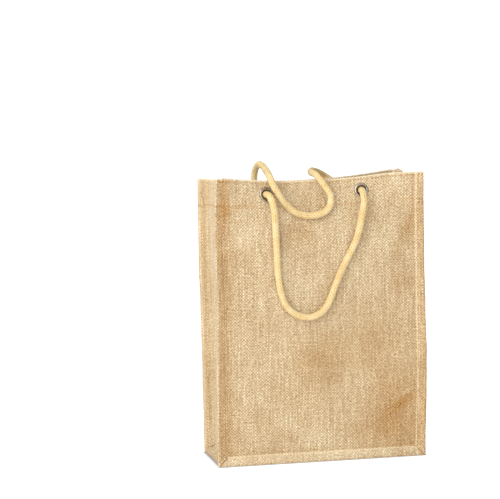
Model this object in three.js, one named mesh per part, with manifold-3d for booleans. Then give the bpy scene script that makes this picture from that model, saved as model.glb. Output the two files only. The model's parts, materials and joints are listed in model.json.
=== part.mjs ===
// Jute tote bag with two braided rope handles, standing open and empty.
// Lengths are in millimetres. X runs across the front, +Y to the back and Z up.
// The origin is on the floor, under the middle of the bag.

import * as THREE from 'three';
import { mergeVertices } from 'three/addons/utils/BufferGeometryUtils.js';
import Module from 'manifold-3d';

const manifold = await Module();
manifold.setup();

// Size of the bag
const HEIGHT = 400; // floor to rim
const DEPTH = 96; // outer face of the front panel to outer face of the back panel

// Cloth
const LAYER = 1.3; // one thickness of laminated jute
const DOUBLE = 2 * LAYER; // a seam edge or a hem, turned once
const GAP = 0.3; // between pieces that are sewn or pressed together
const SEAM = 14; // how far a sewn seam stands out as a fin
const HEM = 36; // depth of the hem at the mouth
const TURN = 3; // width of the step where a turned edge ends
const LEAN = 20; // how far the middle of each rim leans into the mouth
const LEAN_START = 250; // height at which the lean begins

// Bottom of the gussets and rise of the base
const LEDGE_ROOT = 11; // upper face of the seam ledge, at the gusset
const LEDGE_TIP = 9; // upper face of the seam ledge, at its outer edge
const LEDGE_INSET = 1; // from the fin tips to the ledge's outer edge
const MITRE = 0.6; // clear height between two flanges that meet in a mitre
const BASE_DROP = 4; // from the root of the bottom seam down to the base
const BASE_SAG = 2; // how far the middle of the base hangs

// Handles and their fittings
const ROPE = 9; // diameter of the braided rope
const PLAIT = { step: 3, relief: 0.45, sides: 8 }; // raised plait of the rope
const EYELET = { bore: 6.2, barrel: 6.8, flange: 10, crown: 1.9, flare: 8.3, flareEnd: 4.7 };
const WASHER = { bore: 7.1, outer: 10, thick: 0.8 };
const SEAT = 0.4; // from the slightly curved hem to an eyelet and its washer
const CLOTH_HOLE = 7.1; // radius of the hole in the hem
const KNOT = { front: 5, radius: 10.5, length: 17, tail: 22 };
const ROUND = 20; // segments around an eyelet
const LUMP_ROUND = 12; // segments around a knot

// Layout of the grids that the cloth is drawn on
const PANEL_COLUMNS = 18; // in the flat of a panel, between the seams
const PANEL_ROWS = 14; // from the bottom seam to the hem
const HEM_ROWS = 3;
const GUSSET_COLUMNS = 5;
const BASE_ROWS = 4;

// The two big panels. Each entry of tip, rim and flare is [left, right] as seen from the
// front, bulge widens a side, and bump pushes the cloth out (+) or in (-) around a spot.
const SIDES = {
  front: {
    out: -1,
    tipAtFloor: [-150, 150],
    tipAtRim: [-147.2, 148],
    bulge: [{ size: 0, z: 150, reach: 90 }, { size: 3, z: 145, reach: 90 }],
    rim: [399.3, 402.5],
    dip: { size: 7.8, x: -15, reach: 105 },
    flare: [9, 19],
    bottomFlare: 19,
    bumps: [
      { x: -25, z: 300, wide: 80, high: 60, size: 2.5 },
      { x: 70, z: 185, wide: 60, high: 55, size: -4 },
      { x: 115, z: 90, wide: 40, high: 45, size: 2.5 },
      { x: 90, z: 285, wide: 45, high: 40, size: 2 },
      { x: -80, z: 120, wide: 60, high: 80, size: -2.5 },
      { x: -10, z: 60, wide: 80, high: 40, size: 1.5 },
    ],
  },
  back: {
    out: 1,
    tipAtFloor: [-149.3, 150],
    tipAtRim: [-153.9, 150.8],
    bulge: [{ size: -1.2, z: 290, reach: 90 }, { size: 2, z: 160, reach: 90 }],
    rim: [395.9, 402.3],
    dip: { size: 8.5, x: -25, reach: 145 },
    flare: [12, 12],
    bottomFlare: 19,
    bumps: [
      { x: 40, z: 280, wide: 80, high: 70, size: 2.5 },
      { x: -60, z: 170, wide: 70, high: 60, size: -3.5 },
      { x: 60, z: 90, wide: 60, high: 50, size: 2 },
    ],
  },
};

// The two gussets. The fold bows the middle of the web into the bag, by the belly's size
// at its height and by the tuck's size at the rim, and the rim dips between its corners.
const GUSSETS = {
  left: { end: 0, out: -1, belly: { size: 4, z: 150, reach: 110 }, tuck: 1, tuckStart: 200, dip: 2 },
  right: { end: 1, out: 1, belly: { size: 3, z: 130, reach: 110 }, tuck: 12, tuckStart: 180, dip: 6 },
};

// Where the eyelets sit on the panels
const EYELETS = [
  { name: 'front_left', side: 'front', x: -75.8, z: 374.7 },
  { name: 'front_right', side: 'front', x: 62, z: 377.8 },
  { name: 'back_left', side: 'back', x: -73, z: 369 },
  { name: 'back_right', side: 'back', x: 62, z: 374 },
];

// The front handle hangs down the front panel: out of the left eyelet, down, round the
// low point and up again into the right eyelet.
const FRONT_ROUTE = [
  [-76.4, -33.8, 373.9], [-75.8, -38.4, 374.7], [-74.9, -44.2, 374.7], [-73.3, -50.7, 371.9],
  [-71.6, -55.5, 366.5], [-70, -57.4, 359.6], [-67.5, -56.1, 337.7], [-66.2, -54.2, 318.3],
  [-65.3, -54, 298.9], [-63.5, -54.4, 264.3], [-59.2, -53.6, 237.8], [-52.7, -53.2, 222.2],
  [-42.7, -52.9, 211.3], [-29.8, -52.8, 205.1], [-16.9, -52.7, 204], [-5.3, -52.6, 207.7],
  [4.2, -52.5, 215.7], [11.4, -52.9, 228.8], [20, -53.8, 251], [30.9, -54.3, 275.1],
  [41.9, -54.1, 295], [50.7, -54.2, 315], [55.6, -55.1, 335.8], [59.9, -56.3, 362.8],
  [60.1, -54, 369.8], [60.5, -49, 375.2], [61.3, -42.4, 377.9], [62, -36.6, 377.8],
  [62.5, -32, 377],
];

// The back handle rises behind the back panel, crosses the mouth, lies in a loop on the
// front panel and goes back over both rims.
const BACK_ROUTE = [
  [-73.5, 32.8, 368.2], [-73, 37.4, 369], [-72.4, 42.9, 371], [-71.8, 47.6, 375.4],
  [-71.4, 50.7, 381.8], [-71.2, 52, 389.4], [-71, 51.4, 397.2], [-70.6, 48, 404.4],
  [-69.9, 41.2, 410.4], [-69.1, 29, 414.4], [-68.6, 13, 413.1], [-69.4, -8, 409],
  [-70, -20, 405.6], [-70.5, -32.5, 402.2], [-70.2, -42.4, 396.4], [-67.8, -48.8, 387.6],
  [-61.7, -50, 376.9],
  [-50.9, -46.2, 362.2], [-36.6, -45.5, 350.1], [-20.2, -45.8, 344.7], [-3.6, -45.5, 345.5],
  [7.6, -45.3, 350], [14, -45.2, 358.4], [15.4, -44.7, 369], [11.2, -44.2, 379.2],
  [5, -43, 388], [0.2, -38.8, 395.7], [-2.6, -30.2, 400.6], [-3.5, -19, 402.3], [-1.2, -2, 403],
  [3.4, 16, 404], [10.8, 32, 403.9], [21, 45, 401.6], [31.7, 52.5, 396.8],
  [41.6, 54.5, 390.7], [51, 51.8, 384.4], [57.4, 47.4, 378.9], [60.8, 42.2, 375.5],
  [62, 36.9, 374], [62.5, 32.3, 373.1],
];

const { lerp, degToRad } = THREE.MathUtils;

function bell(at, centre, reach) {
  return Math.exp(-(((at - centre) / reach) ** 2));
}

function arch(at, centre, reach) {
  return Math.max(0, 1 - ((at - centre) / reach) ** 2);
}

// Tip of a side fin at a height along the panel; end is 0 for left and 1 for right.
function finTip(side, end, height) {
  const bulge = side.bulge[end];
  const straight = lerp(side.tipAtFloor[end], side.tipAtRim[end], height / HEIGHT);
  return straight + bulge.size * bell(height, bulge.z, bulge.reach);
}

// Where a fin leaves the flat of the panel.
function finRoot(side, end, height) {
  const inward = end === 0 ? 1 : -1;
  return finTip(side, end, height) + inward * SEAM * Math.cos(degToRad(side.flare[end]));
}

function bottomRoot(side) {
  return SEAM * Math.cos(degToRad(side.bottomFlare));
}

function rimHeight(side, x) {
  const [left, right] = side.tipAtRim;
  const level = lerp(side.rim[0], side.rim[1], (x - left) / (right - left));
  return level - side.dip.size * arch(x, side.dip.x, side.dip.reach);
}

// A point on the outer face of a panel. Height runs from 0 at the floor to HEIGHT at the rim.
function panelPoint(side, x, height) {
  const z = (height * rimHeight(side, x)) / HEIGHT;
  const left = finRoot(side, 0, height);
  const right = finRoot(side, 1, height);
  const flare = Math.max(
    (left - x) * Math.tan(degToRad(side.flare[0])),
    (x - right) * Math.tan(degToRad(side.flare[1])),
    (bottomRoot(side) - z) * Math.tan(degToRad(side.bottomFlare)),
    0,
  );
  const risen = Math.max(0, (height - LEAN_START) / (HEIGHT - LEAN_START));
  const half = (right - left) / 2 - TURN;
  const lean = LEAN * risen ** 2 * arch(x, (left + right) / 2, half);
  let relief = 0;
  for (const bump of side.bumps) {
    relief += bump.size * bell(x, bump.x, bump.wide) * bell(z, bump.z, bump.high);
  }
  return new THREE.Vector3(x, side.out * (DEPTH / 2 + flare + relief - lean), z);
}

// A spot on a panel, with the direction that points out of the cloth there.
function panelSpot(side, x, z) {
  const reach = 4;
  const at = (dx, dz) => {
    const height = ((z + dz) * HEIGHT) / rimHeight(side, x + dx);
    return panelPoint(side, x + dx, height);
  };
  const across = at(reach, 0).sub(at(-reach, 0));
  const up = at(0, reach).sub(at(0, -reach));
  const normal = across.cross(up).normalize().multiplyScalar(-side.out);
  return { point: at(0, 0), normal };
}

// Solves how far the wrong side lies behind a point, so that every face around the point
// gets its thickness. A point on the floor is only moved level.
function offsetBehind(normals, thickness, onFloor) {
  const even = 0.001;
  const level = onFloor ? 1000 : 0;
  const sum = new THREE.Matrix3().set(even, 0, 0, 0, even, 0, 0, 0, even + level);
  const aim = new THREE.Vector3();
  for (const normal of normals) {
    const parts = normal.toArray();
    const products = parts.flatMap((a) => parts.map((b) => a * b));
    products.forEach((product, i) => { sum.elements[i] += product; });
    aim.addScaledVector(normal, thickness);
  }
  return aim.applyMatrix3(sum.invert());
}

// Splits a cell of the grid along its clearly shorter diagonal, or else along the one that
// points to the middle of the grid, which gives the mitred corners their crease.
function splitCell(a, b, c, d, towardsMiddle) {
  const clearly = 1.15;
  const first = a.at.distanceTo(c.at);
  const second = b.at.distanceTo(d.at);
  let useFirst = towardsMiddle;
  if (first * clearly < second) {
    useFirst = true;
  }
  if (second * clearly < first) {
    useFirst = false;
  }
  return useFirst ? [[a, b, c], [a, c, d]] : [[a, b, d], [b, c, d]];
}

// A closed sheet of cloth from a grid of points on its right side, or null where it has
// none. Columns crossed with rows point out of the right side.
function clothGeometry(grid) {
  const points = [];
  grid.flat().forEach((vertex) => {
    if (vertex) {
      vertex.id = points.length;
      vertex.normals = [];
      points.push(vertex);
    }
  });
  const faces = [];
  for (let r = 0; r + 1 < grid.length; r += 1) {
    for (let c = 0; c + 1 < grid[r].length; c += 1) {
      const cell = [grid[r][c], grid[r][c + 1], grid[r + 1][c + 1], grid[r + 1][c]];
      if (cell.every(Boolean)) {
        const towardsMiddle = (r < grid.length / 2) === (c < grid[r].length / 2 - 1);
        faces.push(...splitCell(...cell, towardsMiddle));
      }
    }
  }
  for (const [a, b, c] of faces) {
    const normal = new THREE.Triangle(a.at, b.at, c.at).getNormal(new THREE.Vector3());
    for (const vertex of [a, b, c]) {
      vertex.normals.push(normal);
    }
  }
  const position = points.flatMap((vertex) => vertex.at.toArray());
  for (const vertex of points) {
    const behind = offsetBehind(vertex.normals, vertex.thickness, vertex.at.z === 0);
    position.push(...vertex.at.clone().sub(behind).toArray());
  }
  const open = new Map();
  const index = [];
  for (const face of faces) {
    const [a, b, c] = face.map((vertex) => vertex.id);
    index.push(a, b, c, c + points.length, b + points.length, a + points.length);
    for (const [from, to] of [[a, b], [b, c], [c, a]]) {
      if (!open.delete(`${to},${from}`)) {
        open.set(`${from},${to}`, [from, to]);
      }
    }
  }
  for (const [from, to] of open.values()) {
    index.push(to, from, from + points.length, to, from + points.length, to + points.length);
  }
  const geometry = new THREE.BufferGeometry();
  geometry.setAttribute('position', new THREE.Float32BufferAttribute(position, 3));
  geometry.setIndex(index);
  return geometry;
}

function toManifold(geometry) {
  const bare = geometry.clone();
  bare.deleteAttribute('normal');
  bare.deleteAttribute('uv');
  const merged = mergeVertices(bare);
  return new manifold.Manifold(new manifold.Mesh({
    numProp: 3,
    vertProperties: new Float32Array(merged.attributes.position.array),
    triVerts: new Uint32Array(merged.index.array),
  }));
}

function fromManifold(solid) {
  const mesh = solid.getMesh();
  const geometry = new THREE.BufferGeometry();
  geometry.setAttribute('position', new THREE.Float32BufferAttribute(mesh.vertProperties, 3));
  geometry.setIndex(Array.from(mesh.triVerts));
  return geometry;
}

function evenly(from, to, parts) {
  return Array.from({ length: parts + 1 }, (_, i) => lerp(from, to, i / parts));
}

// Rows that all pieces between floor and rim share, as heights along the cloth.
function clothRows() {
  const root = bottomRoot(SIDES.front);
  const hemLine = HEIGHT - HEM;
  const field = evenly(root + TURN, hemLine, PANEL_ROWS);
  return [0, root, ...field, ...evenly(hemLine + TURN, HEIGHT, HEM_ROWS)];
}

function isHem(height) {
  return height >= HEIGHT - HEM + TURN;
}

function panelGeometry(side) {
  const rows = clothRows();
  const grid = rows.map((height, r) => {
    const left = finRoot(side, 0, height);
    const right = finRoot(side, 1, height);
    const field = evenly(left + TURN, right - TURN, PANEL_COLUMNS);
    const columns = [finTip(side, 0, height), left, ...field, right, finTip(side, 1, height)];
    const line = columns.map((x, c) => {
      const seam = c < 2 || c > columns.length - 3 || r < 2;
      return { at: panelPoint(side, x, height), thickness: seam || isHem(height) ? DOUBLE : LAYER };
    });
    return side.out < 0 ? line : line.reverse();
  });
  let solid = toManifold(clothGeometry(grid));
  for (const { side: name, x, z } of EYELETS) {
    if (SIDES[name] === side) {
      solid = solid.subtract(holeThrough(panelSpot(side, x, z)));
    }
  }
  return fromManifold(solid);
}

function holeThrough({ point, normal }) {
  const drill = new THREE.CylinderGeometry(CLOTH_HOLE, CLOTH_HOLE, SEAM, ROUND);
  drill.applyQuaternion(new THREE.Quaternion().setFromUnitVectors(new THREE.Vector3(0, 1, 0), normal));
  drill.translate(point.x, point.y, point.z);
  return toManifold(drill);
}

// From a panel's outer face in to the far face of the cloth that is sewn behind its fin.
function seamStack(angle) {
  return (2 * DOUBLE) / Math.cos(degToRad(angle)) + GAP;
}

// A point on the far face of a flange that is sewn behind a panel's fin.
function flangePoint(side, angle, x, height) {
  const point = panelPoint(side, x, height);
  point.y -= side.out * seamStack(angle);
  return point;
}

// The same, at the tip or the root of a side fin.
function sideFlange(side, end, place, height) {
  return flangePoint(side, side.flare[end], place(side, end, height), height);
}

// One line of a gusset from its back flange to its front flange. The web lies between the
// roots of the two fins and bows into the bag.
function gussetWeb(gusset, height) {
  const aboveMitre = Math.max(height, bottomRoot(SIDES.front) + MITRE);
  const [back, front] = [SIDES.back, SIDES.front].map((side) => (
    sideFlange(side, gusset.end, finRoot, aboveMitre)
  ));
  const span = back.y - front.y;
  const middle = (back.y + front.y) / 2;
  const risen = Math.max(0, (height - gusset.tuckStart) / (HEIGHT - gusset.tuckStart));
  const belly = gusset.belly.size * bell(height, gusset.belly.z, gusset.belly.reach);
  const bow = belly + gusset.tuck * risen ** 2;
  const inner = evenly(back.y - TURN, front.y + TURN, GUSSET_COLUMNS - 1);
  return inner.map((y) => {
    const crown = arch(y, middle, span / 2 - TURN);
    const point = new THREE.Vector3().lerpVectors(back, front, (back.y - y) / span);
    point.x -= gusset.out * bow * crown;
    point.z -= (gusset.dip * crown * height) / HEIGHT;
    return point;
  });
}

function gussetGeometry(gusset) {
  const root = bottomRoot(SIDES.front);
  const grid = clothRows().map((height, r) => {
    const flanges = [SIDES.back, SIDES.front].map((side) => {
      const tipHeight = r === 0 ? MITRE : height;
      const rootHeight = [root + MITRE, root + TURN / 2][r] ?? height;
      return [
        sideFlange(side, gusset.end, finTip, tipHeight),
        sideFlange(side, gusset.end, finRoot, rootHeight),
      ];
    });
    const web = gussetWeb(gusset, height);
    if (r === 0) {
      web.forEach((point) => { point.z = LEDGE_ROOT; });
    }
    if (r === 1) {
      web.forEach((point) => { point.z = root + TURN / 2; });
    }
    const [back, front] = flanges;
    const line = [back[0], back[1], ...web, front[1], front[0]];
    return line.map((at, c) => {
      const flange = c < 2 || c > line.length - 3;
      return { at, thickness: flange || isHem(height) ? DOUBLE : LAYER };
    });
  });
  const ledge = grid[0].map(({ at }, c) => {
    if (c < 2 || c > grid[0].length - 3) {
      return null;
    }
    const tip = gusset.out * (Math.abs(SIDES.front.tipAtFloor[gusset.end]) - LEDGE_INSET);
    return { at: new THREE.Vector3(tip, at.y, LEDGE_TIP), thickness: LAYER };
  });
  grid.unshift(ledge);
  if (gusset.out > 0) {
    grid.forEach((line) => line.reverse());
  }
  return clothGeometry(grid);
}

// Inner edge of the base at a gusset, clear of the gusset's turned corner.
function baseEdge(gusset) {
  const web = gussetWeb(gusset, 0).map((point) => Math.abs(point.x));
  return gusset.out * (Math.min(...web) - DOUBLE - 2 * GAP);
}

function baseGeometry() {
  const left = baseEdge(GUSSETS.left);
  const right = baseEdge(GUSSETS.right);
  const inner = evenly(left, right, PANEL_COLUMNS);
  const drop = 2 * LAYER + GAP; // from the ledge's upper face to the base's lower face
  const flanges = (side) => {
    const rootHeight = bottomRoot(side) - BASE_DROP;
    return [0, rootHeight].map((z, r) => {
      const tips = [0, 1].map((end) => finTip(side, end, 0) + (end === 0 ? GAP : -GAP));
      const columns = r === 0 ? evenly(tips[0], tips[1], PANEL_COLUMNS) : inner;
      const line = columns.map((x) => {
        const at = flangePoint(side, side.bottomFlare, x, z);
        at.z = z;
        return { at, thickness: DOUBLE };
      });
      return [null, ...line, null];
    });
  };
  const back = flanges(SIDES.back);
  const front = flanges(SIDES.front);
  const rows = evenly(back[1][1].at.y - TURN, front[1][1].at.y + TURN, BASE_ROWS);
  const middle = rows.map((y) => {
    const line = inner.map((x) => {
      const sag = BASE_SAG * arch(x, 0, right) * arch(y, 0, DEPTH / 2);
      return { at: new THREE.Vector3(x, y, LEDGE_ROOT - drop - sag), thickness: LAYER };
    });
    const edges = Object.values(GUSSETS).map(({ end, out }) => {
      const tip = out * (Math.abs(SIDES.front.tipAtFloor[end]) - LEDGE_INSET);
      return { at: new THREE.Vector3(tip, y, LEDGE_TIP - drop), thickness: LAYER };
    });
    return [edges[0], ...line, edges[1]];
  });
  return clothGeometry([back[0], back[1], ...middle, front[1], front[0]]);
}

// A ring turned about +Y from a closed outline of [radius, height] corners.
function turnedRing(outline) {
  const corners = [...outline, outline[0]].map(([r, y]) => new THREE.Vector2(r, y));
  return new THREE.LatheGeometry(corners, ROUND);
}

function eyeletGeometry() {
  const { bore, barrel, flange, crown, flare, flareEnd } = EYELET;
  const sheet = barrel - bore;
  return turnedRing([
    [bore, -flareEnd], [flare, -flareEnd], [flare, -flareEnd + sheet], [barrel, -flareEnd + sheet],
    [barrel, SEAT], [flange, SEAT], [flange - sheet / 2, crown / 2 + SEAT], [(flange + bore) / 2, crown],
    [bore, crown - sheet],
  ]);
}

function washerGeometry() {
  const near = -DOUBLE - SEAT;
  const { bore, outer, thick } = WASHER;
  return turnedRing([[bore, near - thick], [outer, near - thick], [outer, near], [bore, near]]);
}

// An overhand knot as a lump behind the eyelet, with the rope's end hanging out of it.
function knotGeometry({ point, normal }) {
  const { front, radius, length, tail } = KNOT;
  const shape = [ // share of the radius and of the length, from the back of the lump
    [0, 1], [0.6, 1], [0.92, 0.8], [1, 0.55], [0.9, 0.25], [0.7, 0], [0, 0],
  ];
  const outline = shape.map(([r, back]) => new THREE.Vector2(r * radius, -front - back * length));
  const lump = new THREE.LatheGeometry(outline, LUMP_ROUND);
  lump.applyQuaternion(new THREE.Quaternion().setFromUnitVectors(new THREE.Vector3(0, 1, 0), normal));
  lump.translate(point.x, point.y, point.z);
  const end = new THREE.CylinderGeometry(ROPE / 2, ROPE / 2, tail, PLAIT.sides);
  end.rotateX(Math.PI / 2);
  const centre = point.clone().addScaledVector(normal, -front - length * 0.5);
  end.translate(centre.x, centre.y, centre.z - tail / 2);
  return fromManifold(toManifold(lump).add(toManifold(end)));
}

// A braided rope along a route. Ridge and hollow change places from ring to ring, as the
// strands of the plait do.
function ropeGeometry(route) {
  const points = route.map((point) => new THREE.Vector3(...point));
  const curve = new THREE.CatmullRomCurve3(points, false, 'centripetal');
  curve.arcLengthDivisions = 2000;
  const rings = Math.round(curve.getLength() / PLAIT.step);
  const { normals, binormals } = curve.computeFrenetFrames(rings, false);
  const position = [];
  for (let ring = 0; ring <= rings; ring += 1) {
    const centre = curve.getPointAt(ring / rings);
    for (let side = 0; side < PLAIT.sides; side += 1) {
      const turn = (2 * Math.PI * side) / PLAIT.sides;
      const sunk = (ring + side) % 2 === 0 ? PLAIT.relief : 0;
      const radius = ROPE / 2 - sunk;
      const point = centre.clone();
      point.addScaledVector(normals[ring], radius * Math.cos(turn));
      point.addScaledVector(binormals[ring], radius * Math.sin(turn));
      position.push(...point.toArray());
    }
  }
  const index = [];
  const ends = [0, 1].map((end) => {
    position.push(...curve.getPointAt(end).toArray());
    return position.length / 3 - 1;
  });
  for (let side = 0; side < PLAIT.sides; side += 1) {
    const next = (side + 1) % PLAIT.sides;
    for (let ring = 0; ring < rings; ring += 1) {
      const [a, b] = [ring * PLAIT.sides + side, ring * PLAIT.sides + next];
      const [d, c] = [a + PLAIT.sides, b + PLAIT.sides];
      const ridge = (ring + side) % 2 === 0;
      index.push(...(ridge ? [a, b, d, b, c, d] : [a, b, c, a, c, d]));
    }
    const last = rings * PLAIT.sides;
    index.push(ends[0], next, side, ends[1], last + side, last + next);
  }
  const geometry = new THREE.BufferGeometry();
  geometry.setAttribute('position', new THREE.Float32BufferAttribute(position, 3));
  geometry.setIndex(index);
  return geometry;
}

const FINISH = {
  jute: { color: 0xdcc098, roughness: 0.95, metalness: 0 },
  rope: { color: 0xe6cd9c, roughness: 0.9, metalness: 0 },
  steel: { color: 0x6f665c, roughness: 0.35, metalness: 1 },
};

function piece(name, geometry, finish) {
  const mesh = new THREE.Mesh(geometry, new THREE.MeshStandardMaterial(FINISH[finish]));
  mesh.name = name;
  return mesh;
}

function bag() {
  const group = new THREE.Group();
  group.add(piece('front_panel', panelGeometry(SIDES.front), 'jute'));
  group.add(piece('back_panel', panelGeometry(SIDES.back), 'jute'));
  group.add(piece('left_gusset', gussetGeometry(GUSSETS.left), 'jute'));
  group.add(piece('right_gusset', gussetGeometry(GUSSETS.right), 'jute'));
  group.add(piece('base_panel', baseGeometry(), 'jute'));
  return group;
}

function fittings() {
  const group = new THREE.Group();
  for (const { name, side, x, z } of EYELETS) {
    const spot = panelSpot(SIDES[side], x, z);
    for (const [kind, geometry] of [['eyelet', eyeletGeometry()], ['washer', washerGeometry()]]) {
      const mesh = piece(`${kind}_${name}`, geometry, 'steel');
      mesh.quaternion.setFromUnitVectors(new THREE.Vector3(0, 1, 0), spot.normal);
      mesh.position.copy(spot.point);
      group.add(mesh);
    }
    group.add(piece(`knot_${name}`, knotGeometry(spot), 'rope'));
  }
  return group;
}

function handles() {
  const group = new THREE.Group();
  group.add(piece('front_handle', ropeGeometry(FRONT_ROUTE), 'rope'));
  group.add(piece('back_handle', ropeGeometry(BACK_ROUTE), 'rope'));
  return group;
}

const tote = new THREE.Group();
tote.add(bag(), fittings(), handles());
export default tote;
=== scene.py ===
# %% [markdown]
# # A jute tote bag with braided rope handles
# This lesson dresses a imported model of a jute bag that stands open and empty. The packed
# model gives every place and size. Here each sewn piece of cloth, each rope, knot, eyelet
# and stitch is made again in fine detail, in metres, in the same frame.

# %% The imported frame
import json
import math

import bpy
import numpy as np
from mathutils import Matrix, Vector

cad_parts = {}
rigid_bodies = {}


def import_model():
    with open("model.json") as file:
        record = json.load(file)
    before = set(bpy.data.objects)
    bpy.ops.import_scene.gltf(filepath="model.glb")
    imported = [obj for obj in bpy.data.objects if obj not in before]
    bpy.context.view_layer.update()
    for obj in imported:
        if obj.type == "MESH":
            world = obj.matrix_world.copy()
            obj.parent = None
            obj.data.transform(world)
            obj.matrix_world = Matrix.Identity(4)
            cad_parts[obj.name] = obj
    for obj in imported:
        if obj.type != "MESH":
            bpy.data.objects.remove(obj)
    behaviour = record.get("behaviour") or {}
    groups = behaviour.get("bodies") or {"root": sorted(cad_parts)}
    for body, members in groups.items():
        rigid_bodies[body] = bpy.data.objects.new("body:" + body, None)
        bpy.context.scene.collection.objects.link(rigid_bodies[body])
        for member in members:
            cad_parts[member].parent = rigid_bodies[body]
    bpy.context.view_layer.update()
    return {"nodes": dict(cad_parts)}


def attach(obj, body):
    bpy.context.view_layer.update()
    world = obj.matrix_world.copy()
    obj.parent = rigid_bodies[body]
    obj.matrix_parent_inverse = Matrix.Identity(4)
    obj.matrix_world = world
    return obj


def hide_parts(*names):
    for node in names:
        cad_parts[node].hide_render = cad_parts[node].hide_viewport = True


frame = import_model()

MM = 0.001
print("nodes in the frame:", len(frame["nodes"]))

# %% [markdown]
# ## The camera
# A photographer would stand a little to the left of the bag, about two metres away, with
# a long lens just above the bag. The angles and the distance come from the bag's corners.
# A camera looks along its own -Z, so its matrix is built from right, up and back.

# %% Camera
AZIMUTH, ELEVATION, ROLL = (math.radians(angle) for angle in (-13.2, 4.8, -0.65))
CAMERA_DISTANCE = 2.28
CAMERA_AIM = Vector((-0.0904, 0.0, 0.2961))
FOCAL_LENGTH = 116.9
SENSOR_WIDTH = 36.0

away = Vector((
    math.sin(AZIMUTH) * math.cos(ELEVATION),
    -math.cos(AZIMUTH) * math.cos(ELEVATION),
    math.sin(ELEVATION),
))
level = Vector((math.cos(AZIMUTH), math.sin(AZIMUTH), 0.0))
upright = away.cross(level)
right = level * math.cos(ROLL) + upright * math.sin(ROLL)
above = upright * math.cos(ROLL) - level * math.sin(ROLL)

bpy.ops.object.select_all(action="DESELECT")
bpy.ops.object.camera_add()
camera = bpy.context.object
camera.name = "photo_camera"
camera.matrix_world = (
    Matrix.Translation(CAMERA_AIM + away * CAMERA_DISTANCE)
    @ Matrix((right, above, away)).transposed().to_4x4()
)
camera.data.sensor_fit = "HORIZONTAL"
camera.data.sensor_width = SENSOR_WIDTH
camera.data.lens = FOCAL_LENGTH
bpy.context.scene.camera = camera
print("camera at", [round(value, 3) for value in camera.matrix_world.translation])

# %% [markdown]
# ## The handles' routes
# Each handle is one rope, knotted behind two eyelets. The front one hangs down the front
# of the bag. The back one has fallen forward: it rises behind the bag, crosses the mouth,
# lies in a loop on the front and goes back over both rims. Both routes repeat the points
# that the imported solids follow, in millimetres.

# %% Routes
FRONT_ROUTE = [
    [-76.4, -33.8, 373.9], [-75.8, -38.4, 374.7], [-74.9, -44.2, 374.7],
    [-73.3, -50.7, 371.9], [-71.6, -55.5, 366.5], [-70, -57.4, 359.6],
    [-67.5, -56.1, 337.7], [-66.2, -54.2, 318.3], [-65.3, -54, 298.9],
    [-63.5, -54.4, 264.3], [-59.2, -53.6, 237.8], [-52.7, -53.2, 222.2],
    [-42.7, -52.9, 211.3], [-29.8, -52.8, 205.1], [-16.9, -52.7, 204],
    [-5.3, -52.6, 207.7], [4.2, -52.5, 215.7], [11.4, -52.9, 228.8],
    [20, -53.8, 251], [30.9, -54.3, 275.1], [41.9, -54.1, 295],
    [50.7, -54.2, 315], [55.6, -55.1, 335.8], [59.9, -56.3, 362.8],
    [60.1, -54, 369.8], [60.5, -49, 375.2], [61.3, -42.4, 377.9],
    [62, -36.6, 377.8], [62.5, -32, 377],
]
BACK_ROUTE = [
    [-73.5, 32.8, 368.2], [-73, 37.4, 369], [-72.4, 42.9, 371], [-71.8, 47.6, 375.4],
    [-71.4, 50.7, 381.8], [-71.2, 52, 389.4], [-71, 51.4, 397.2], [-70.6, 48, 404.4],
    [-69.9, 41.2, 410.4], [-69.1, 29, 414.4], [-68.6, 13, 413.1], [-69.4, -8, 409],
    [-70, -20, 405.6], [-70.5, -32.5, 402.2], [-70.2, -42.4, 396.4],
    [-67.8, -48.8, 387.6], [-61.7, -50, 376.9], [-50.9, -46.2, 362.2],
    [-36.6, -45.5, 350.1], [-20.2, -45.8, 344.7], [-3.6, -45.5, 345.5],
    [7.6, -45.3, 350], [14, -45.2, 358.4], [15.4, -44.7, 369], [11.2, -44.2, 379.2],
    [5, -43, 388], [0.2, -38.8, 395.7], [-2.6, -30.2, 400.6], [-3.5, -19, 402.3],
    [-1.2, -2, 403], [3.4, 16, 404], [10.8, 32, 403.9], [21, 45, 401.6],
    [31.7, 52.5, 396.8], [41.6, 54.5, 390.7], [51, 51.8, 384.4], [57.4, 47.4, 378.9],
    [60.8, 42.2, 375.5], [62, 36.9, 374], [62.5, 32.3, 373.1],
]
SPAN_POINTS = 24  # between two points of a route, before they are spaced evenly


def run_along(points):
    """How far along a line each of its points lies."""
    return np.append(0, np.cumsum(np.linalg.norm(np.diff(points, axis=0), axis=1)))


def points_at(at, run, points):
    """Places on a line, at distances along it."""
    return np.column_stack([np.interp(at, run, points[:, axis]) for axis in range(3)])


def follow(route, step):
    """Points about one step apart on a smooth curve through a route, and their run.

    The curve is a centripetal Catmull-Rom spline, which makes no loops at a close point.
    """
    points = np.array(route, float)
    before, after = 2 * points[0] - points[1], 2 * points[-1] - points[-2]
    points = np.vstack([before, points, after])
    fine = []
    for p0, p1, p2, p3 in zip(points, points[1:], points[2:], points[3:]):
        t1 = np.linalg.norm(p1 - p0) ** 0.5
        t2 = t1 + np.linalg.norm(p2 - p1) ** 0.5
        t3 = t2 + np.linalg.norm(p3 - p2) ** 0.5
        t = np.linspace(t1, t2, SPAN_POINTS, endpoint=False)[:, None]
        a1 = ((t1 - t) * p0 + t * p1) / t1
        a2 = ((t2 - t) * p1 + (t - t1) * p2) / (t2 - t1)
        a3 = ((t3 - t) * p2 + (t - t2) * p3) / (t3 - t2)
        b1 = ((t2 - t) * a1 + t * a2) / t2
        b2 = ((t3 - t) * a2 + (t - t1) * a3) / (t3 - t1)
        fine.append(((t2 - t) * b1 + (t - t1) * b2) / (t2 - t1))
    fine = np.vstack(fine + [points[-2:-1]])
    run = run_along(fine)
    at = np.linspace(0, run[-1], round(run[-1] / step) + 1)
    return points_at(at, run, fine), at


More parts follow.
